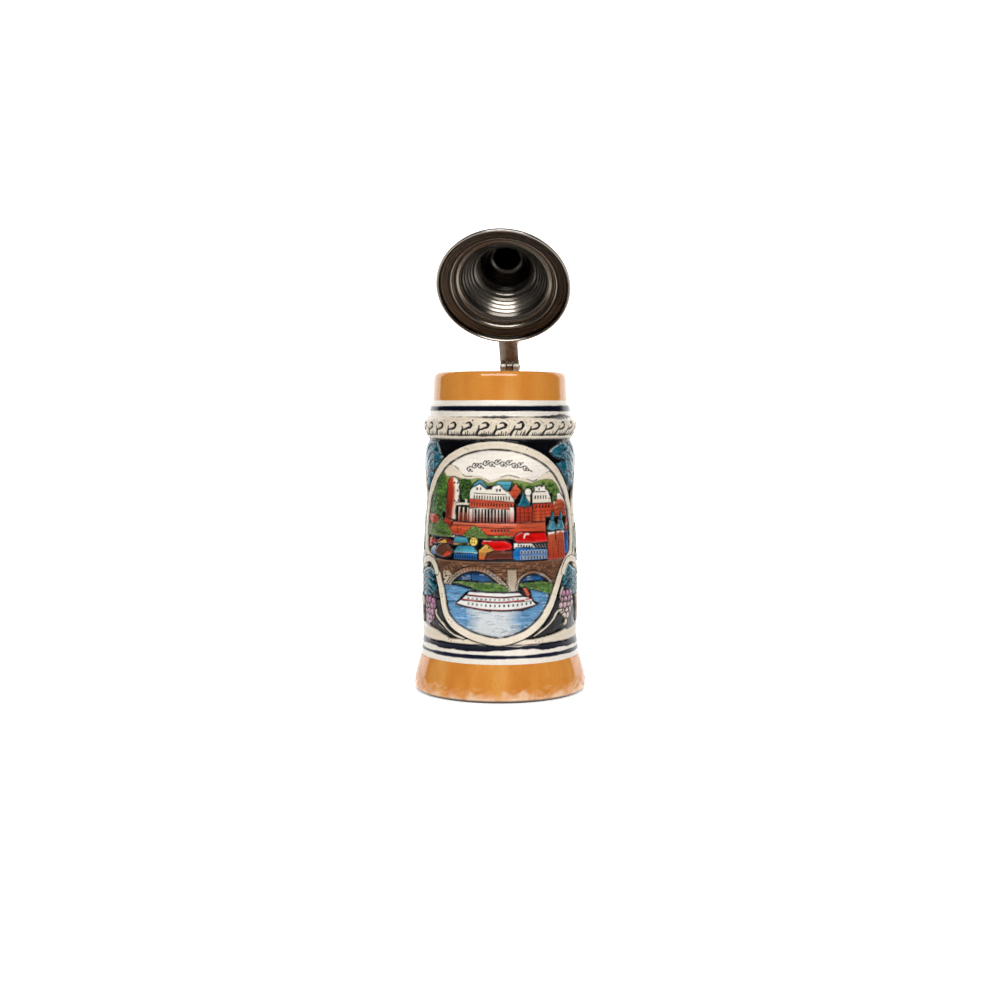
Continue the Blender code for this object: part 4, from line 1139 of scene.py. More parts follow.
def lathe_points(profile, turn):
    """Points of a turned surface: profile is (radius, z) rows, turn is the angles round from -Y."""
    profile = np.asarray(profile, float)
    r = profile[:, 0, None]
    x = r * np.sin(turn)[None]
    y = -r * np.cos(turn)[None]
    return np.stack([x, y, np.broadcast_to(profile[:, 1, None], x.shape)], axis=-1)


# The body and the material slot of each CAD piece that a mesh here replaces
NODES = {
    "mug_body": ("stein", "glazed_ceramic"),
    "handle": ("stein", "handle_glaze"),
    "handle_collar": ("stein", "cast_pewter"),
    "hinge_bracket": ("stein", "cast_pewter"),
    "lid_strap": ("lid", "cast_pewter"),
    "thumblift": ("lid", "cast_pewter"),
    "lid_shell": ("lid", "pewter"),
    "finial": ("lid", "cast_pewter"),
}


def add(name, mesh, look, node, matrix=None):
    """Shows a mesh in place of a CAD piece, on that piece's body.

    A piece with a matrix is drawn about its own axis and then moved; its material still knows that axis.
    """
    if matrix is not None:
        spun = mesh.attributes.new("spun", "FLOAT_VECTOR", "POINT")
        drawn = np.empty(3 * len(mesh.vertices), np.float32)
        mesh.vertices.foreach_get("co", drawn)
        spun.data.foreach_set("vector", drawn)
        mesh.transform(matrix)
    made = bpy.data.objects.new(name, mesh)
    bpy.context.scene.collection.objects.link(made)
    mesh.materials.append(look.material)
    bpy.context.view_layer.update()
    body, slot = NODES[node]
    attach(made, body)
    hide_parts(node)
    return made


def even_turns(count):
    """Angles all the way round, in count equal steps."""
    return np.arange(count) * FULL_TURN / count


def add_turned(name, profile, steps, look, node, matrix=None, flip=False):
    """A piece turned from its profile."""
    mesh = grid_mesh(name, lathe_points(profile, even_turns(steps)), True, flip=flip)
    return add(name, mesh, look, node, matrix)


def dense(profile, step):
    """The profile with points no farther apart than step."""
    points = [profile[0]]
    for (ar, az), (br, bz) in zip(profile, profile[1:]):
        count = max(1, math.ceil(math.hypot(br - ar, bz - az) / step))
        points += [(ar + (br - ar) * i / count, az + (bz - az) * i / count) for i in range(1, count + 1)]
    return points


# ---------------------------------------------------------------- materials


MOST_NOISE = (0.3, 0.7)  # where nearly all of a noise's values lie
PAINTED_LIGHT_REACH = 36  # the radius, in mm, at the end of the ramp of painted light rings


class Look:
    """A material in the making, with the nodes that the materials here share."""

    def __init__(self, name):
        self.material = bpy.data.materials.new(name)
        self.material.use_nodes = True
        self.tree = self.material.node_tree
        self.shader = self.tree.nodes["Principled BSDF"]

    def node(self, kind, **settings):
        """A new node, with its inputs or its properties set by name."""
        new = self.tree.nodes.new(kind)
        for key, value in settings.items():
            if key in new.inputs:
                new.inputs[key].default_value = value
            else:
                setattr(new, key, value)
        return new

    def link(self, output, socket):
        self.tree.links.new(output, socket)

    def place(self):
        """Where a point lies on its piece, in metres."""
        return self.node("ShaderNodeTexCoord").outputs["Object"]

    def axes(self, vector):
        """The three outputs X, Y and Z of a vector."""
        parts = self.node("ShaderNodeSeparateXYZ")
        self.link(vector, parts.inputs["Vector"])
        return parts.outputs

    def noise(self, scale, detail=3, stretch=(1, 1, 1)):
        """Noise of scale waves per metre. Without stretch it runs in rings round a spun piece's axis."""
        field = self.node("ShaderNodeTexNoise", Scale=scale, Detail=detail)
        if stretch is None:
            mapped = self.node("ShaderNodeCombineXYZ")
            reach, up = self.axis_distance()
            self.link(reach, mapped.inputs["X"])
            self.link(up, mapped.inputs["Z"])
        else:
            mapped = self.node("ShaderNodeMapping", Scale=stretch)
            self.link(self.place(), mapped.inputs["Vector"])
        self.link(mapped.outputs["Vector"], field.inputs["Vector"])
        return field.outputs["Fac"]

    def axis_distance(self):
        """The distance from the axis that a spun piece was drawn round, and the height along it."""
        parts = self.axes(self.node("ShaderNodeAttribute", attribute_name="spun").outputs["Vector"])
        level = self.node("ShaderNodeCombineXYZ")
        reach = self.node("ShaderNodeVectorMath", operation="LENGTH")
        for axis in "XY":
            self.link(parts[axis], level.inputs[axis])
        self.link(level.outputs["Vector"], reach.inputs[0])
        return reach.outputs["Value"], parts["Z"]

    def ramp(self, value, stops):
        """The value as a colour, from (position, colour) stops."""
        made = self.node("ShaderNodeValToRGB")
        elements = made.color_ramp.elements
        while len(elements) < len(stops):
            elements.new(0.5)
        for element, (position, colour) in zip(elements, stops):
            element.position = position
            element.color = (*colour, 1)
        self.link(value, made.inputs["Fac"])
        return made.outputs["Color"]

    def rescaled(self, value, start, end, curve="LINEAR"):
        """The value moved from the range start to the range end, and held inside it."""
        made = self.node("ShaderNodeMapRange", interpolation_type=curve)
        for name, number in zip(("From Min", "From Max", "To Min", "To Max"), (*start, *end)):
            made.inputs[name].default_value = number
        self.link(value, made.inputs["Value"])
        return made.outputs["Result"]

    def maths(self, operation, *values):
        """A sum whose values are numbers or outputs of nodes."""
        made = self.node("ShaderNodeMath", operation=operation)
        for socket, value in zip(made.inputs, values):
            if isinstance(value, (int, float)):
                socket.default_value = value
            else:
                self.link(value, socket)
        return made.outputs["Value"]

    def multiplied(self, first, second, share=1.0):
        """The first colour darkened by that share of the second."""
        mix = self.node("ShaderNodeMix", data_type="RGBA", blend_type="MULTIPLY")
        mix.inputs["Factor"].default_value = share
        self.link(first, mix.inputs["A"])
        self.link(second, mix.inputs["B"])
        return mix.outputs["Result"]

    def surface(self, colour, roughness, rough_noise, tooth, tooth_noise, strength=1.0):
        """The shader's colour, its range of roughness, and a bump of tooth metres."""
        self.link(colour, self.shader.inputs["Base Color"])
        self.link(self.rescaled(rough_noise, MOST_NOISE, roughness), self.shader.inputs["Roughness"])
        bump = self.node("ShaderNodeBump", Strength=strength, Distance=tooth)
        self.link(tooth_noise, bump.inputs["Height"])
        self.link(bump.outputs["Normal"], self.shader.inputs["Normal"])


def painted_ceramic():
    """The relief: its own paint, under a thin glaze with a fine tooth."""
    look = Look("painted_relief")
    paint = look.node("ShaderNodeAttribute", attribute_name="paint").outputs["Color"]
    mottle = look.ramp(look.noise(900), [(0.3, (0.91, 0.9, 0.89)), (0.7, (1, 1, 1))])
    colour = look.multiplied(paint, mottle)
    look.surface(colour, (0.12, 0.24), look.noise(500), 0.00002, look.noise(1800, 2))
    look.shader.inputs["Specular IOR Level"].default_value = 0.28
    return look


def glaze(name, colours, roughness=(0.07, 0.15), stretch=(1, 1, 0.25), scale=90):
    """A glassy glaze whose colour pools in soft streaks."""
    look = Look(name)
    colour = look.ramp(look.noise(scale, 4, stretch), list(zip((0.3, 0.52, 0.72), colours)))
    specks = look.ramp(look.noise(1400, 1), [(0.28, (0.72, 0.62, 0.5)), (0.36, (1, 1, 1))])
    colour = look.multiplied(colour, specks, 0.6)
    look.surface(colour, roughness, look.noise(260), 0.0001, look.noise(70, 2), 0.6)
    return look


def foot_glaze():
    """The amber glaze, with pale patches near the table (thin glaze and painted reflection) and a painted
    contact shadow.
    """
    look = glaze("foot_glaze", (DARK_AMBER, AMBER, PALE_AMBER))
    base_colour = look.shader.inputs["Base Color"]
    amber = base_colour.links[0].from_socket
    place = look.place()
    height = look.axes(place)["Z"]
    # Pale patches near the table: partly glaze that ran thin, partly a painted reflection of the white
    # table.
    patches = look.node("ShaderNodeTexNoise", Scale=120, Detail=4)
    look.link(place, patches.inputs["Vector"])
    thin = look.maths("ADD", look.rescaled(height, (0.010, 0.001), (-0.35, 0.22)), patches.outputs["Fac"])
    mix = look.node("ShaderNodeMix", data_type="RGBA")
    look.link(look.ramp(thin, [(0.44, (0, 0, 0)), (0.7, (0.8, 0.8, 0.8))]), mix.inputs["Factor"])
    look.link(amber, mix.inputs["A"])
    mix.inputs["B"].default_value = (*PEACH, 1)
    # Painted contact shadow: the colour falls to 6 percent of itself in the lowest millimetre, where the
    # foot stands.
    painted_contact_shadow = look.node("ShaderNodeVectorMath", operation="SCALE")
    look.link(mix.outputs["Result"], painted_contact_shadow.inputs[0])
    look.link(look.rescaled(height, (0.0010, 0.0019), (0.06, 1)), painted_contact_shadow.inputs["Scale"])
    look.link(painted_contact_shadow.outputs["Vector"], base_colour)
    return look


def metal(name, dark, light, roughness, stretch=(1, 1, 1), scale=300, tooth=0.00004, bands=None):
    """Worn metal; bands, as (radius in mm, brightness) from the middle, are painted reflection and shade in
    rings.
    """
    look = Look(name)
    colour = look.ramp(look.noise(scale, 5, stretch), [(0.3, dark), (0.7, light)])
    if bands:
        share = look.maths("DIVIDE", look.axis_distance()[0], PAINTED_LIGHT_REACH * MM)
        painted_light_rings = look.ramp(share, [(radius / PAINTED_LIGHT_REACH, (bright,) * 3) for radius, bright in bands])
        colour = look.multiplied(colour, painted_light_rings)
    fine, finest = (look.noise(scale * finer, 3, stretch) for finer in (2, 4))
    look.surface(colour, roughness, fine, tooth, finest)
    look.shader.inputs["Metallic"].default_value = 1
    return look


# ---------------------------------------------------------------- mug

# The outer profile, as (radius, z) in mm from the rim down
OUTSIDE = [(34.8, 157), (35.1, 152.5), (36.4, 147.6), (36.9, 144.4), (37.9, 142), (39.2, 140.4),
           (39.7, 138.2), (39.4, 136), (38.4, 133.4), (38.0, 131.6), (38.9, 128), (39.1, 120),
           (39.1, 100), (39.5, 88), (40.3, 72), (40.8, 60), (40.8, 46), (40.3, 36), (40.3, 28),
           (40.8, 22.5), (41.2, 18.6), (42.2, 15.4)]
LATHE_STEPS = 192  # round the mug and the lid


def outside_radius(z):
    """The wall's outer radius at a height; a small shoulder under the rim stands over the smooth curve."""
    curve = np.array(smooth_curve(OUTSIDE, share=8))[::-1]
    shoulder = np.array([(148.2, 36.35), (148.4, 36.3), (150.3, 35.35), (150.5, 35.3)])
    under_rim = np.interp(z, shoulder[:, 0], shoulder[:, 1])
    return np.where(z > shoulder[0, 0], under_rim, np.interp(z, curve[:, 1], curve[:, 0]))


def wall_sectors(relief, look, count=5):
    """The relief bent round the mug, as count meshes with their paint."""
    turn = CAMERA_TURN + relief.u / ROUND
    radius = outside_radius(relief.z)[:, None] + relief.height
    height = np.broadcast_to(relief.z[:, None], radius.shape)
    points = np.stack([radius * np.sin(turn), -radius * np.cos(turn), height], axis=-1)
    along = np.roll(points, -1, axis=1) - np.roll(points, 1, axis=1)
    up = np.gradient(points, axis=0)
    normals = np.cross(along, up)
    normals /= np.linalg.norm(normals, axis=-1, keepdims=True)
    edges = np.linspace(0, len(relief.u), count + 1).round().astype(int)
    for i, (start, end) in enumerate(zip(edges, edges[1:])):
        columns = np.arange(start, end + 1) % len(relief.u)
        mesh = grid_mesh(f"wall_{i + 1}", points[:, columns], False, normals[:, columns])
        paint = mesh.attributes.new("paint", "FLOAT_COLOR", "POINT")
        colours = np.ones((len(relief.z), len(columns), 4), np.float32)
        colours[..., :3] = np.clip(relief.colour[:, columns], 0, 1)
        paint.data.foreach_set("color", colours.ravel())
        add(f"wall_{i + 1}", mesh, look, "mug_body")


def mug(relief):
    """The wall, the glazed rim, the inside and the foot."""
    wall_sectors(relief, painted_ceramic())
    amber = glaze("amber_glaze", (DARK_AMBER, AMBER, PALE_AMBER * 0.95))
    white = glaze("inside_glaze", (CREAM * 0.9, PALE * 0.95, PALE))
    rim = [(35.35, 150.3), (35.2, 150.7), (35.05, 152.5), (34.8, 157), (34.62, 161.2), (34.45, 162.4),
           (34.15, 163.3), (33.7, 164.15), (33.2, 164.7), (32.5, 164.95), (31.8, 165.0), (30.9, 164.75),
           (30.2, 164.2), (29.7, 163.2), (29.55, 160), (29.6, 156), (29.8, 151)]
    add_turned("rim", dense(rim, 0.8), LATHE_STEPS, amber, "mug_body")
    well = [(29.8, 151), (30.8, 142), (32.8, 130), (33.8, 118), (34.6, 82), (35.7, 48), (35.4, 20),
            (34.9, 14), (33.6, 10.4), (31.5, 8.6), (28.5, 8.05), (20, 8.2), (10, 8.35), (0.02, 8.4)]
    add_turned("inside", dense(well, 2), LATHE_STEPS, white, "mug_body")
    foot(foot_glaze())


LUMP = 0.0032  # how far the foot's glaze swells, as a share of its radius


def foot(glazed):
    """The flared foot: thick glaze that ran into lumps above the unglazed ring it stands on."""
    flare = [(41.15, 19.05), (41.35, 18.2), (41.8, 16.8), (42.3, 15.2), (42.9, 13.2), (43.5, 11.1),
             (44.0, 9.2), (44.35, 7.4), (44.6, 5.2), (44.65, 3.2), (44.55, 1.9), (44.3, 1.25),
             (43.8, 0.8), (43.0, 0.6), (42.6, 0.02)]
    turn = even_turns(LATHE_STEPS)
    points = lathe_points(dense(flare, 0.4), turn)
    z = points[..., 2]
    lumps = np.zeros(z.shape)
    draw = np.random.default_rng(5)
    for wave in (9, 14, 23, 31, 47, 61):
        shift = draw.uniform(0, 6.28, 3)
        sway = 0.5 * np.sin(z * 0.7 + shift[1])
        lumps += np.sin(wave * turn[None] + shift[0] + sway) * np.cos(z * wave / 26 + shift[2])
    reach = np.clip((z - 0.6) / 2.5, 0, 1) * np.clip((9.5 - z) / 5, 0, 1)
    points[..., :2] *= 1 + lumps[..., None] * reach[..., None] * LUMP
    add("foot", grid_mesh("foot", points, True, flip=True), glazed, "mug_body")
    under = [(42.6, 0.02), (41.4, 0.0), (40.4, 0.25), (39.6, 0.9), (38, 1.2), (20, 1.2), (0.02, 1.2)]
    bisque = glaze("bare_clay", (STONE * 0.8, STONE, CREAM), (0.6, 0.8), (1, 1, 1), 120)
    add_turned("underside", dense(under, 1.5), LATHE_STEPS, bisque, "mug_body", flip=True)


# ---------------------------------------------------------------- handle

HANDLE_ROUTE = [(33, 134), (45, 143.6), (57.4, 146.6), (69.5, 142.4), (77.4, 129), (79.4, 109),
                (76.6, 88), (68.4, 68), (55.5, 53), (46.2, 42), (49.4, 31.5), (57, 27)]
HANDLE_TOP = 146.6  # the highest z of the route
HANDLE_WIDE, HANDLE_DEEP = 10, 6.8  # the bar's half width and half depth


def handle():
    """An oval bar with two moulded grooves down its back and a curled tail."""
    route = [Vector((0, y, z)) for y, z in smooth_curve(HANDLE_ROUTE, share=9)]
    rows = []
    around = even_turns(72)
    for i, here in enumerate(route):
        ahead = route[min(i + 1, len(route) - 1)] - route[max(i - 1, 0)]
        ahead.normalize()
        out = Vector((0, ahead.z, -ahead.y)) * -1
        share = i / (len(route) - 1)
        size = 1 - 0.45 * max(0, share - 0.82) / 0.18
        groove = np.zeros(len(around))
        for side in (-1, 1):
            away = (np.degrees(around) - 90 - 26 * side + 180) % 360 - 180
            groove += np.exp(-((away / 7) ** 2))
        fade = min(1, share / 0.12, max(0, (1 - share) / 0.12))
        swell = 0.985 - 0.055 * groove * fade
        across = HANDLE_WIDE * size * swell * np.cos(around)
        deep = HANDLE_DEEP * size * swell * np.sin(around)
        rows.append([(a, here.y + out.y * d, here.z + out.z * d) for a, d in zip(across, deep)])
    ahead = np.array((route[-1] - route[-2]).normalized())
    last = np.array(rows[-1])
    middle = np.array(route[-1])
    for shrink, push in ((0.98, 0.4), (0.9, 1.1), (0.72, 1.7), (0.4, 2.1), (0.02, 2.2)):
        rows.append(middle + (last - middle) * shrink + ahead * push)
    points = np.array(rows)
    clear = np.hypot(points[..., 0], points[..., 1]) > outside_radius(points[..., 2]) - 1.2
    first = next(i for i in range(len(points)) if clear[i].mean() > 0.02)
    mesh = grid_mesh("handle_bar", points[max(first - 1, 0) :], True, flip=True)
    amber = glaze("handle_glaze_look", (DARK_AMBER, AMBER, PALE_AMBER), stretch=(1, 1, 1))
    add("handle_bar", mesh, amber, "handle")


# ---------------------------------------------------------------- hinge and lid

HINGE_Y, HINGE_Z = 57.4, 169.2
LID_OPEN = math.radians(50.8)
LID_EDGE = -6.0  # the lid's edge plane, above the hinge axis when closed
KNOB_FOOT = 38  # the finial's foot, above the lid's edge plane
RING = 4.2  # the hinge rings' radius
BELL = 28.4  # the lid's radius where the flange ends and the bell begins


def lid_matrix():
    """Where the open lid stands: drawn closed about the hinge axis, in metres."""
    place = Matrix.Translation((0, HINGE_Y * MM, HINGE_Z * MM))
    return place @ Matrix.Rotation(-LID_OPEN, 4, "X")


def ringed(profile, step, depth, draw):
    """A spun profile with the fine steps that the spinning tool leaves."""
    points = [Vector(p) for p in dense(profile, step)]
    made = []
    for i, point in enumerate(points):
        ahead = points[min(i + 1, len(points) - 1)] - points[max(i - 1, 0)]
        side = Vector((-ahead.y, ahead.x)).normalized()
        inner = min(i, len(points) - 1 - i) > 2
        made.append(point + side * (depth * draw.normal() if inner else 0))
    return profile[:3] + [(max(p.x, 0.02), p.y) for p in made if p.y > profile[2][1]]


# Painted light on the lid's inner side at each radius: rings of painted reflection, painted shade deep
# inside and by the bead
LID_PAINTED_LIGHT = [(0, 0.0), (7.3, 0.0), (7.9, 0.9), (8.6, 0.9), (9.3, 0.2), (12, 0.12), (14.6, 0.2), (15.3, 1.1),
           (16, 0.45), (18, 1.0), (20.4, 1.25), (21.6, 0.9), (22.6, 0.35), (23.8, 0.35), (24.9, 1.3),
           (25.6, 0.9), (26.6, 0.35), (27.3, 0.45), (28.3, 1.6), (28.9, 0.45), (30.2, 0.8), (31, 0.55),
           (32.4, 0.75), (33.4, 0.4), (34, 0.05), (34.5, 0.02)]


def lid_shell(draw):
    """The spun lid: its inner and outer side, with a rounded bead between them."""
    matrix = lid_matrix() @ Matrix.Translation((0, -HINGE_Y * MM, LID_EDGE * MM))
    bead = [(34.4, 1.2), (34.4, 0.7), (34.55, 0.35), (34.8, 0.12), (35.15, 0.02), (35.5, 0.12),
            (35.72, 0.4), (35.8, 0.9), (35.7, 1.5)]
    # The bead is a lighter copy of the pewter: a painted reflection.
    bright = metal("bead_pewter", rgb(176, 170, 162), rgb(206, 200, 192), (0.2, 0.32), None, 700, 0.00001)
    add_turned("lid_bead", bead, LATHE_STEPS, bright, "lid_shell", matrix)
    inside = [(34.4, 1.2), (34.35, 2.0), (33.9, 2.3), (31, 2.75), (28.4, 3.2), (27.9, 3.6), (27.3, 4.4),
              (26.9, 4.75), (25.4, 5.2), (24.6, 5.9), (24.2, 6.2), (23.3, 6.6), (22.7, 7.4), (22.2, 8.15),
              (21.7, 8.6), (21.0, 9.7), (20.4, 10.3), (19.6, 11.5), (19.0, 12.1), (18.2, 13.2),
              (17.6, 13.75), (16.9, 14.8), (16.4, 15.2), (15.6, 15.8), (15.1, 16.4), (13.6, 17.9),
              (12.4, 19.3), (11.3, 21.7), (10.4, 24.3), (9.6, 26.3), (8.6, 27.7), (6.8, 29), (5.8, 30.8),
              (4.6, 33.7), (2.8, 36), (0.02, 36.6)]
    spun = metal("spun_pewter", rgb(92, 82, 72), rgb(140, 128, 114), (0.2, 0.36), None, 900, 0.00002)
    # The inner side is a lighter copy of the pewter, to carry painted reflection.
    hollow = metal("spun_hollow", rgb(122, 113, 102), rgb(180, 173, 163), (0.2, 0.32), None, 1200,
                   0.000008, LID_PAINTED_LIGHT)
    spun_inside = ringed(inside, 0.25, 0.006, draw)
    add_turned("lid_inside", spun_inside, LATHE_STEPS, hollow, "lid_shell", matrix, flip=True)
    outside = [(35.7, 1.5), (35.6, 2.0), (35.3, 2.4), (34.2, 2.95), (31, 3.75), (28.4, 4.4), (28.2, 5.3),
               (27.4, 5.9), (25.8, 6.3), (24.2, 7.0), (22.9, 8.2), (21.9, 9.5), (20.4, 11.2),
               (17.3, 15.7), (16.2, 17.1), (15.6, 17.5), (13.4, 19.9), (12.4, 22), (11.5, 24.7),
               (10.4, 27.2), (9.6, 28.3), (7.5, 29.9), (6.6, 31.6), (5.6, 34.1), (3.6, 36.8), (2, 37.5),
               (0.02, 37.7)]
    add_turned("lid_outside", ringed(outside, 0.35, 0.012, draw), LATHE_STEPS, spun, "lid_shell", matrix)


def finial(cast):
    """The turned knob: a ball with two scored lines, on a waisted foot."""
    matrix = lid_matrix() @ Matrix.Translation((0, -HINGE_Y * MM, (LID_EDGE + KNOB_FOOT) * MM))
    knob = [(0.02, 15.4), (0.8, 15.3), (1.4, 14.9), (1.85, 14.2), (1.75, 13.5), (1.45, 13.0), (1.6, 12.7)]
    ball, scored, ball_middle = 4.4, 4.15, 8.6
    for degrees in range(66, -55, -8):
        angle = math.radians(degrees)
        knob.append((ball * math.cos(angle), ball_middle + ball * math.sin(angle)))
        if degrees in (10, 2):
            angle -= 0.04
            knob.append((scored * math.cos(angle), ball_middle + scored * math.sin(angle)))
    knob += [(2.35, 4.6), (2.15, 4.0), (2.15, 3.3), (2.7, 2.7), (3.5, 2.3), (3.9, 1.8), (4.6, 1.3),
             (5.3, 0.9), (5.5, 0.4)]
    knob += [(5.4, -0.1), (4.9, -0.5), (4.3, -1.0), (4.1, -1.8), (3.5, -1.7), (2.6, -0.9), (0.02, -0.7)]
    add_turned("knob", knob, 64, cast, "finial", matrix, flip=True)


def rounded(name, shape, width, segments=3, angle=40):
    """Closes a bmesh into a mesh whose sharp edges are rounded."""
    sharp = [e for e in shape.edges if len(e.link_faces) == 2
             and e.calc_face_angle(0) > math.radians(angle)]
    bmesh.ops.bevel(shape, geom=sharp, offset=width * MM, segments=segments, profile=0.5, affect="EDGES",
                    clamp_overlap=True)
    mesh = bpy.data.meshes.new(name)
    shape.to_mesh(mesh)
    shape.free()
    mesh.shade_smooth()
    mesh.set_sharp_from_angle(angle=math.radians(38))
    return mesh


def slab(outline, low, high, to_space):
    """An outline in mm extruded from low to high; to_space gives a point's place from (a, b, c)."""
    shape = bmesh.new()
    lower = [shape.verts.new(to_space(a, b, low)) for a, b in outline]
    upper = [shape.verts.new(to_space(a, b, high)) for a, b in outline]
    shape.faces.new(lower[::-1])
    shape.faces.new(upper)
    for i in range(len(outline)):
        j = (i + 1) % len(outline)
        shape.faces.new([lower[i], lower[j], upper[j], upper[i]])
    bmesh.ops.recalc_face_normals(shape, faces=shape.faces)
    return shape


def on_edge(a, b, c):
    """For an outline drawn upright, seen along the hinge pin, and extruded along the pin."""
    return Vector((c, a, b)) * MM


def flat(a, b, c):
    """For an outline drawn level and extruded upwards."""
    return Vector((a, b, c)) * MM


def circle(centre, radius, start, end, count):
    """Points along an arc, its angles in degrees."""
    return [(centre[0] + radius * math.cos(math.radians(t)), centre[1] + radius
             * math.sin(math.radians(t))) for t in np.linspace(start, end, count)]


def add_slab(shape, outline, low, high, to_space):
    """Joins one more extruded outline to a bmesh."""
    extra = slab(outline, low, high, to_space)
    mesh = bpy.data.meshes.new("part")
    extra.to_mesh(mesh)
    extra.free()
    shape.from_mesh(mesh)
    bpy.data.meshes.remove(mesh)


def hinge_bracket(cast):
    """The post with its two outer rings."""
    foot_z = HANDLE_TOP + HANDLE_DEEP + 2 - HINGE_Z
    half = [(-4.2, foot_z), (-3.5, foot_z + 1.4), (-2.7, foot_z + 3.4), (-2.5, foot_z + 5.4),
            (-3.2, foot_z + 8.4), (-4.0, -1.6)]
    outline = half + circle((0, 0), RING, 200, -20, 25) + [(-a, b) for a, b in half[::-1]]
    post = half[:5] + [(-2.2, -5.4), (2.2, -5.4)] + [(-a, b) for a, b in half[4::-1]]
    shape = slab(outline, 1.95, 5.2, on_edge)
    add_slab(shape, outline, -5.2, -1.95, on_edge)
    add_slab(shape, post, -2.2, 2.2, on_edge)
    matrix = Matrix.Translation((0, HINGE_Y * MM, HINGE_Z * MM))
    add("bracket", rounded("bracket", shape, 0.4), cast, "hinge_bracket", matrix)


def lid_strap(cast):
    """The tongue on the lid's flange: a bordered plate that ends in the middle ring."""
    reach = HINGE_Y - BELL
    outline = circle((0, 5.2 - reach), 5.2, 180, 360, 21) + [(5.2, -4.9), (-5.2, -4.9)]
    shape = slab(outline, -1.2, 0.7, flat)
    border = circle((0, 5.2 - reach), 5.0, 180, 360, 21) + [(5.0, -5.4), (3.9, -5.4)]
    border += circle((0, 5.2 - reach), 3.9, 360, 180, 21) + [(-3.9, -5.4), (-5.0, -5.4)]
    add_slab(shape, border, 0.5, 1.4, flat)
    rib = [(-1.5, -6), (-0.9, -reach + 5), (0, -reach + 3.4), (0.9, -reach + 5), (1.5, -6)]
    add_slab(shape, rib, 0.5, 1.3, flat)
    add_slab(shape, circle((0, 0), RING, 0, 350, 36), -1.6, 1.6, on_edge)
    add_slab(shape, [(-1.6, -6), (1.6, -6), (1.6, -2), (-1.6, -2)], -1.2, 1.4, flat)
    add("strap", rounded("strap", shape, 0.28, 2), cast, "lid_strap", lid_matrix())


def thumblift(cast):
    """A fluted lever that curls back at its top into a scroll."""
    foot_z, top = 1.7, 29.6
    middle = [(-8, foot_z + 1.2), (-6.2, foot_z + 2.2), (-4.4, foot_z + 5), (-3.2, foot_z + 9),
              (-2.4, foot_z + 14), (-1.6, foot_z + 19), (-1.0, foot_z + 24), (-0.8, top)]
    route = smooth_curve(middle, share=6)
    rows = []
    around = even_turns(48)
    for i, (y, z) in enumerate(route):
        before, after = route[max(i - 1, 0)], route[min(i + 1, len(route) - 1)]
        slope = math.atan2(after[1] - before[1], after[0] - before[0])
        share = i / (len(route) - 1)
        wide = 4.3 * (1 - 0.28 * math.sin(math.pi * min(1, share * 1.1)))
        thick = 1.5 + 1.1 * (1 - share) ** 2
        square = np.abs(np.cos(around)) ** 0.6 * np.sign(np.cos(around))
        flute = 1 - 0.16 * np.abs(np.cos(2.5 * math.pi * square))
        across = wide * square
        deep = thick * np.sin(around) * flute
        rows.append([(a, y - d * math.sin(slope), z + d * math.cos(slope)) for a, d in zip(across, deep)])
    points = np.array(rows)
    low_end, high_end = (np.broadcast_to(row.mean(axis=0), row.shape)[None]
                         for row in (points[0], points[-1]))
    shape = bmesh.new()
    shape.from_mesh(grid_mesh("lever", np.concatenate([low_end, points, high_end]), True))
    pad = [(a, -8 + (b + 8) * 0.68) for a, b in circle((0, -8), 4.3, 0, 350, 28)]
    add_slab(shape, pad, foot_z, foot_z + 1.5, flat)
    mesh = bpy.data.meshes.new("lever_and_pad")
    bmesh.ops.remove_doubles(shape, verts=shape.verts, dist=0.00001)
    bmesh.ops.recalc_face_normals(shape, faces=shape.faces)
    shape.to_mesh(mesh)
    shape.free()
    mesh.shade_smooth()
    mesh.set_sharp_from_angle(angle=math.radians(50))
    add("lever", mesh, cast, "thumblift", lid_matrix())
    half = [(6.8, 0.02), (6.8, 1.4), (6.5, 2.1), (6.1, 2.6), (5.6, 2.7), (5.2, 2.3), (4.9, 2.5),
            (4.4, 3.1), (3.2, 3.4), (2.4, 3.15), (1.6, 3.35), (0.8, 3.4)]
    profile = half + [(-a, r) for a, r in half[::-1]]
    rows = [[(a, -0.8 + r * math.cos(t), top + r * math.sin(t)) for t in around] for a, r in profile]
    add("roll", grid_mesh("roll", np.array(rows), True, flip=True), cast, "thumblift", lid_matrix())


def handle_collar(cast):
    """The pewter band round the handle, thicker at its two edges, following the handle's curve."""
    around = even_turns(96)
    rows = []
    section = [(-4.4, 0.3), (-4.4, 1.35), (-4.1, 1.7), (-3.5, 1.7), (-3.2, 1.3), (-1, 1.15), (1, 1.15),
               (3.2, 1.3), (3.5, 1.7), (4.1, 1.7), (4.4, 1.35), (4.4, 0.3)]
    for y, out in section:
        sag = -0.012 * y * y
        wide, deep = HANDLE_WIDE + out, HANDLE_DEEP + out
        rows.append([(wide * math.cos(t), HINGE_Y + y, HANDLE_TOP + sag + deep * math.sin(t))
                     for t in around])
    mesh = grid_mesh("collar", np.array(rows), True, flip=True)
    mesh.set_sharp_from_angle(angle=math.radians(50))
    add("collar", mesh, cast, "handle_collar")


# ---------------------------------------------------------------- light and view


def emitter(name, colour, strength):
    """A material that only gives light."""
    look = Look(name)
    look.tree.nodes.remove(look.shader)
    light = look.node("ShaderNodeEmission", Strength=strength, Color=(*colour, 1))
    look.link(light.outputs["Emission"], look.tree.nodes["Material Output"].inputs["Surface"])
    return look


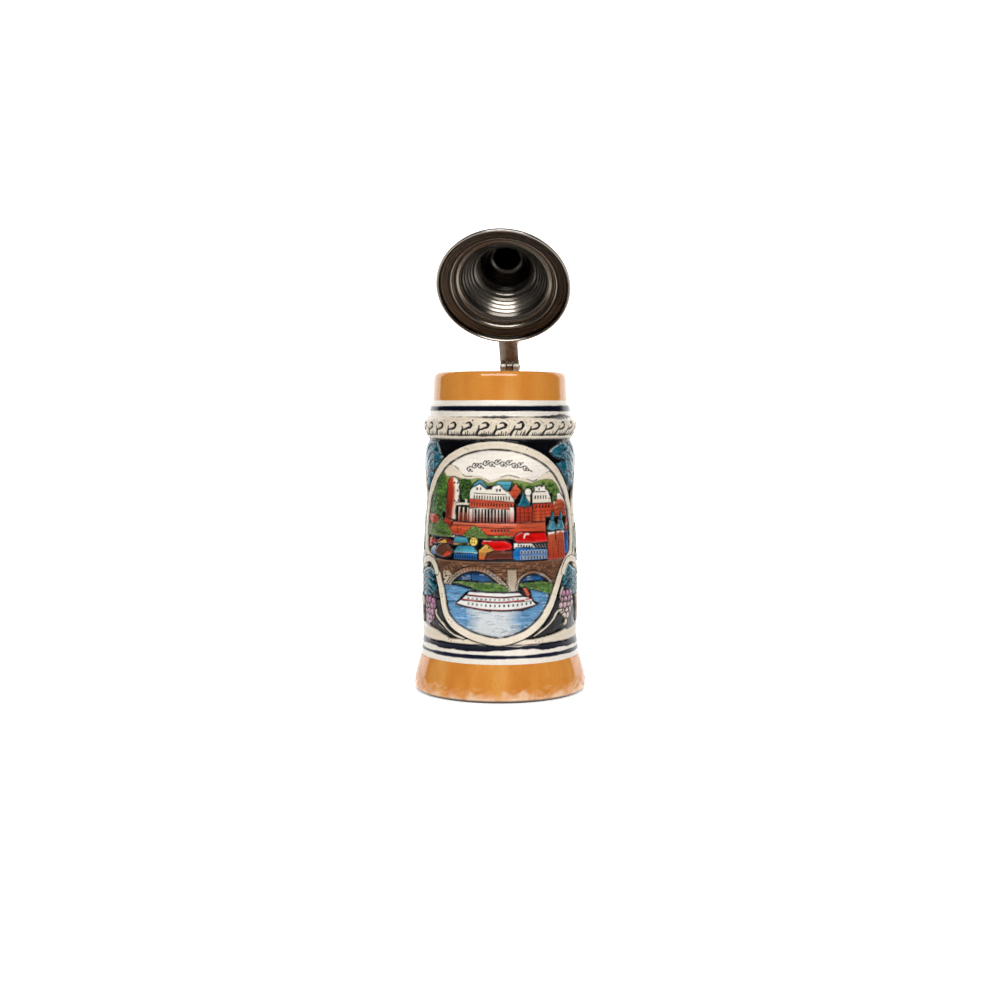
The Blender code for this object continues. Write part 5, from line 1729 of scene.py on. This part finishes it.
def stage_mesh(name, points, faces, look):
    """A piece of the studio, which is no part of the stein."""
    mesh = bpy.data.meshes.new(name)
    mesh.from_pydata([Vector(p) for p in points], [], faces)
    mesh.materials.append(look.material)
    made = bpy.data.objects.new(name, mesh)
    bpy.context.scene.collection.objects.link(made)
    return made


def area_light(name, place, size, energy, target):
    """A rectangular lamp at a place in metres, turned to its target."""
    lamp = bpy.data.lights.new(name, "AREA")
    lamp.shape = "RECTANGLE"
    lamp.size, lamp.size_y = size
    lamp.energy = energy
    made = bpy.data.objects.new(name, lamp)
    bpy.context.scene.collection.objects.link(made)
    made.location = place
    made.rotation_euler = (Vector(target) - made.location).to_track_quat("-Z", "Y").to_euler()
    return made


TABLE_REACH = 1.6
BACKDROP_AWAY, BACKDROP_HEIGHT = 1.5, 1.6
BACKDROP_HALF = math.radians(58)  # how far the backdrop reaches to each side of the view's axis
BACKDROP_STEPS = 24


def white_table():
    """Paper that is white only as far as the view reaches, so that the mug's sides mirror a dark room."""
    look = Look("white_table")
    look.shader.inputs["Roughness"].default_value = 0.6
    look.shader.inputs["Emission Color"].default_value = (1, 1, 1, 1)
    place = look.axes(look.place())
    view_edge = look.maths("MULTIPLY", place["Y"], 0.36)
    beside = look.maths("SUBTRACT", look.maths("ABSOLUTE", place["X"]), view_edge)
    across = look.rescaled(beside, (0.52, 0.34), (0, 1), "SMOOTHSTEP")
    along = look.rescaled(place["Y"], (-0.54, -0.42), (0, 1), "SMOOTHSTEP")
    lit = look.maths("MULTIPLY", across, along)
    for share, socket in ((0.92, "Base Color"), (0.45, "Emission Strength")):
        look.link(look.maths("MULTIPLY", lit, share), look.shader.inputs[socket])
    return look


def studio():
    """A white table, a bright curved backdrop behind the stein, a softbox over the camera, a weak fill."""
    corners = [(a * TABLE_REACH, b * TABLE_REACH, 0) for a, b in ((-1, -1), (1, -1), (1, 1), (-1, 1))]
    table = stage_mesh("table", corners, [(0, 1, 2, 3)], white_table())
    table.rotation_euler = (0, 0, CAMERA_TURN)
    back = math.radians(90) + CAMERA_TURN
    points = []
    for i in range(BACKDROP_STEPS + 1):
        angle = back + BACKDROP_HALF * (2 * i / BACKDROP_STEPS - 1)
        for z in (-0.05, BACKDROP_HEIGHT):
            points.append((BACKDROP_AWAY * math.cos(angle), BACKDROP_AWAY * math.sin(angle), z))
    faces = [(2 * i, 2 * i + 2, 2 * i + 3, 2 * i + 1) for i in range(BACKDROP_STEPS)]
    stage_mesh("backdrop", points, faces, emitter("white_light", (1, 1, 1), 2.1))
    area_light("softbox", (0.04, -0.62, 0.72), (0.85, 0.3), 6.6, (0, 0, 0.15))
    fill = area_light("fill", (0.62, -1.0, 0.6), (0.7, 0.7), 1.7, (0, 0, 0.09))
    fill.visible_glossy = False
    world = bpy.data.worlds.new("room")
    world.use_nodes = True
    background = world.node_tree.nodes["Background"]
    background.inputs["Color"].default_value = (0.5, 0.5, 0.52, 1)
    background.inputs["Strength"].default_value = 0.1
    bpy.context.scene.world = world
    bpy.context.scene.view_settings.view_transform = "Standard"


def view():
    """The camera, a little right of the front and looking slightly down; places in metres."""
    camera = bpy.data.cameras.new("camera")
    camera.lens = 50.4
    camera.sensor_width = 36
    made = bpy.data.objects.new("camera", camera)
    bpy.context.scene.collection.objects.link(made)
    away, height, pitch = 0.7305, 0.1466, math.radians(3.76)
    made.location = (away * math.sin(CAMERA_TURN), -away * math.cos(CAMERA_TURN), height)
    made.rotation_euler = (math.radians(90) - pitch, 0, CAMERA_TURN)
    bpy.context.scene.camera = made


view()
studio()
mug(decorated_wall())
handle()
cast_metal = metal("cast_pewter_look", rgb(112, 102, 92), rgb(150, 140, 128), (0.26, 0.4), scale=260)
handle_collar(cast_metal)
# The bracket is a lighter copy of the cast pewter: painted light.
hinge_bracket(metal("bracket_pewter", rgb(158, 146, 130), rgb(204, 194, 180), (0.34, 0.46), scale=260))
lid_strap(cast_metal)
thumblift(cast_metal)
finial(cast_metal)
lid_shell(np.random.default_rng(3))
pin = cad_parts["hinge_pin"]
pin.data.materials.clear()
pin_steel = metal("pin_steel", rgb(150, 148, 144), rgb(190, 188, 184), (0.2, 0.34))
pin.data.materials.append(pin_steel.material)
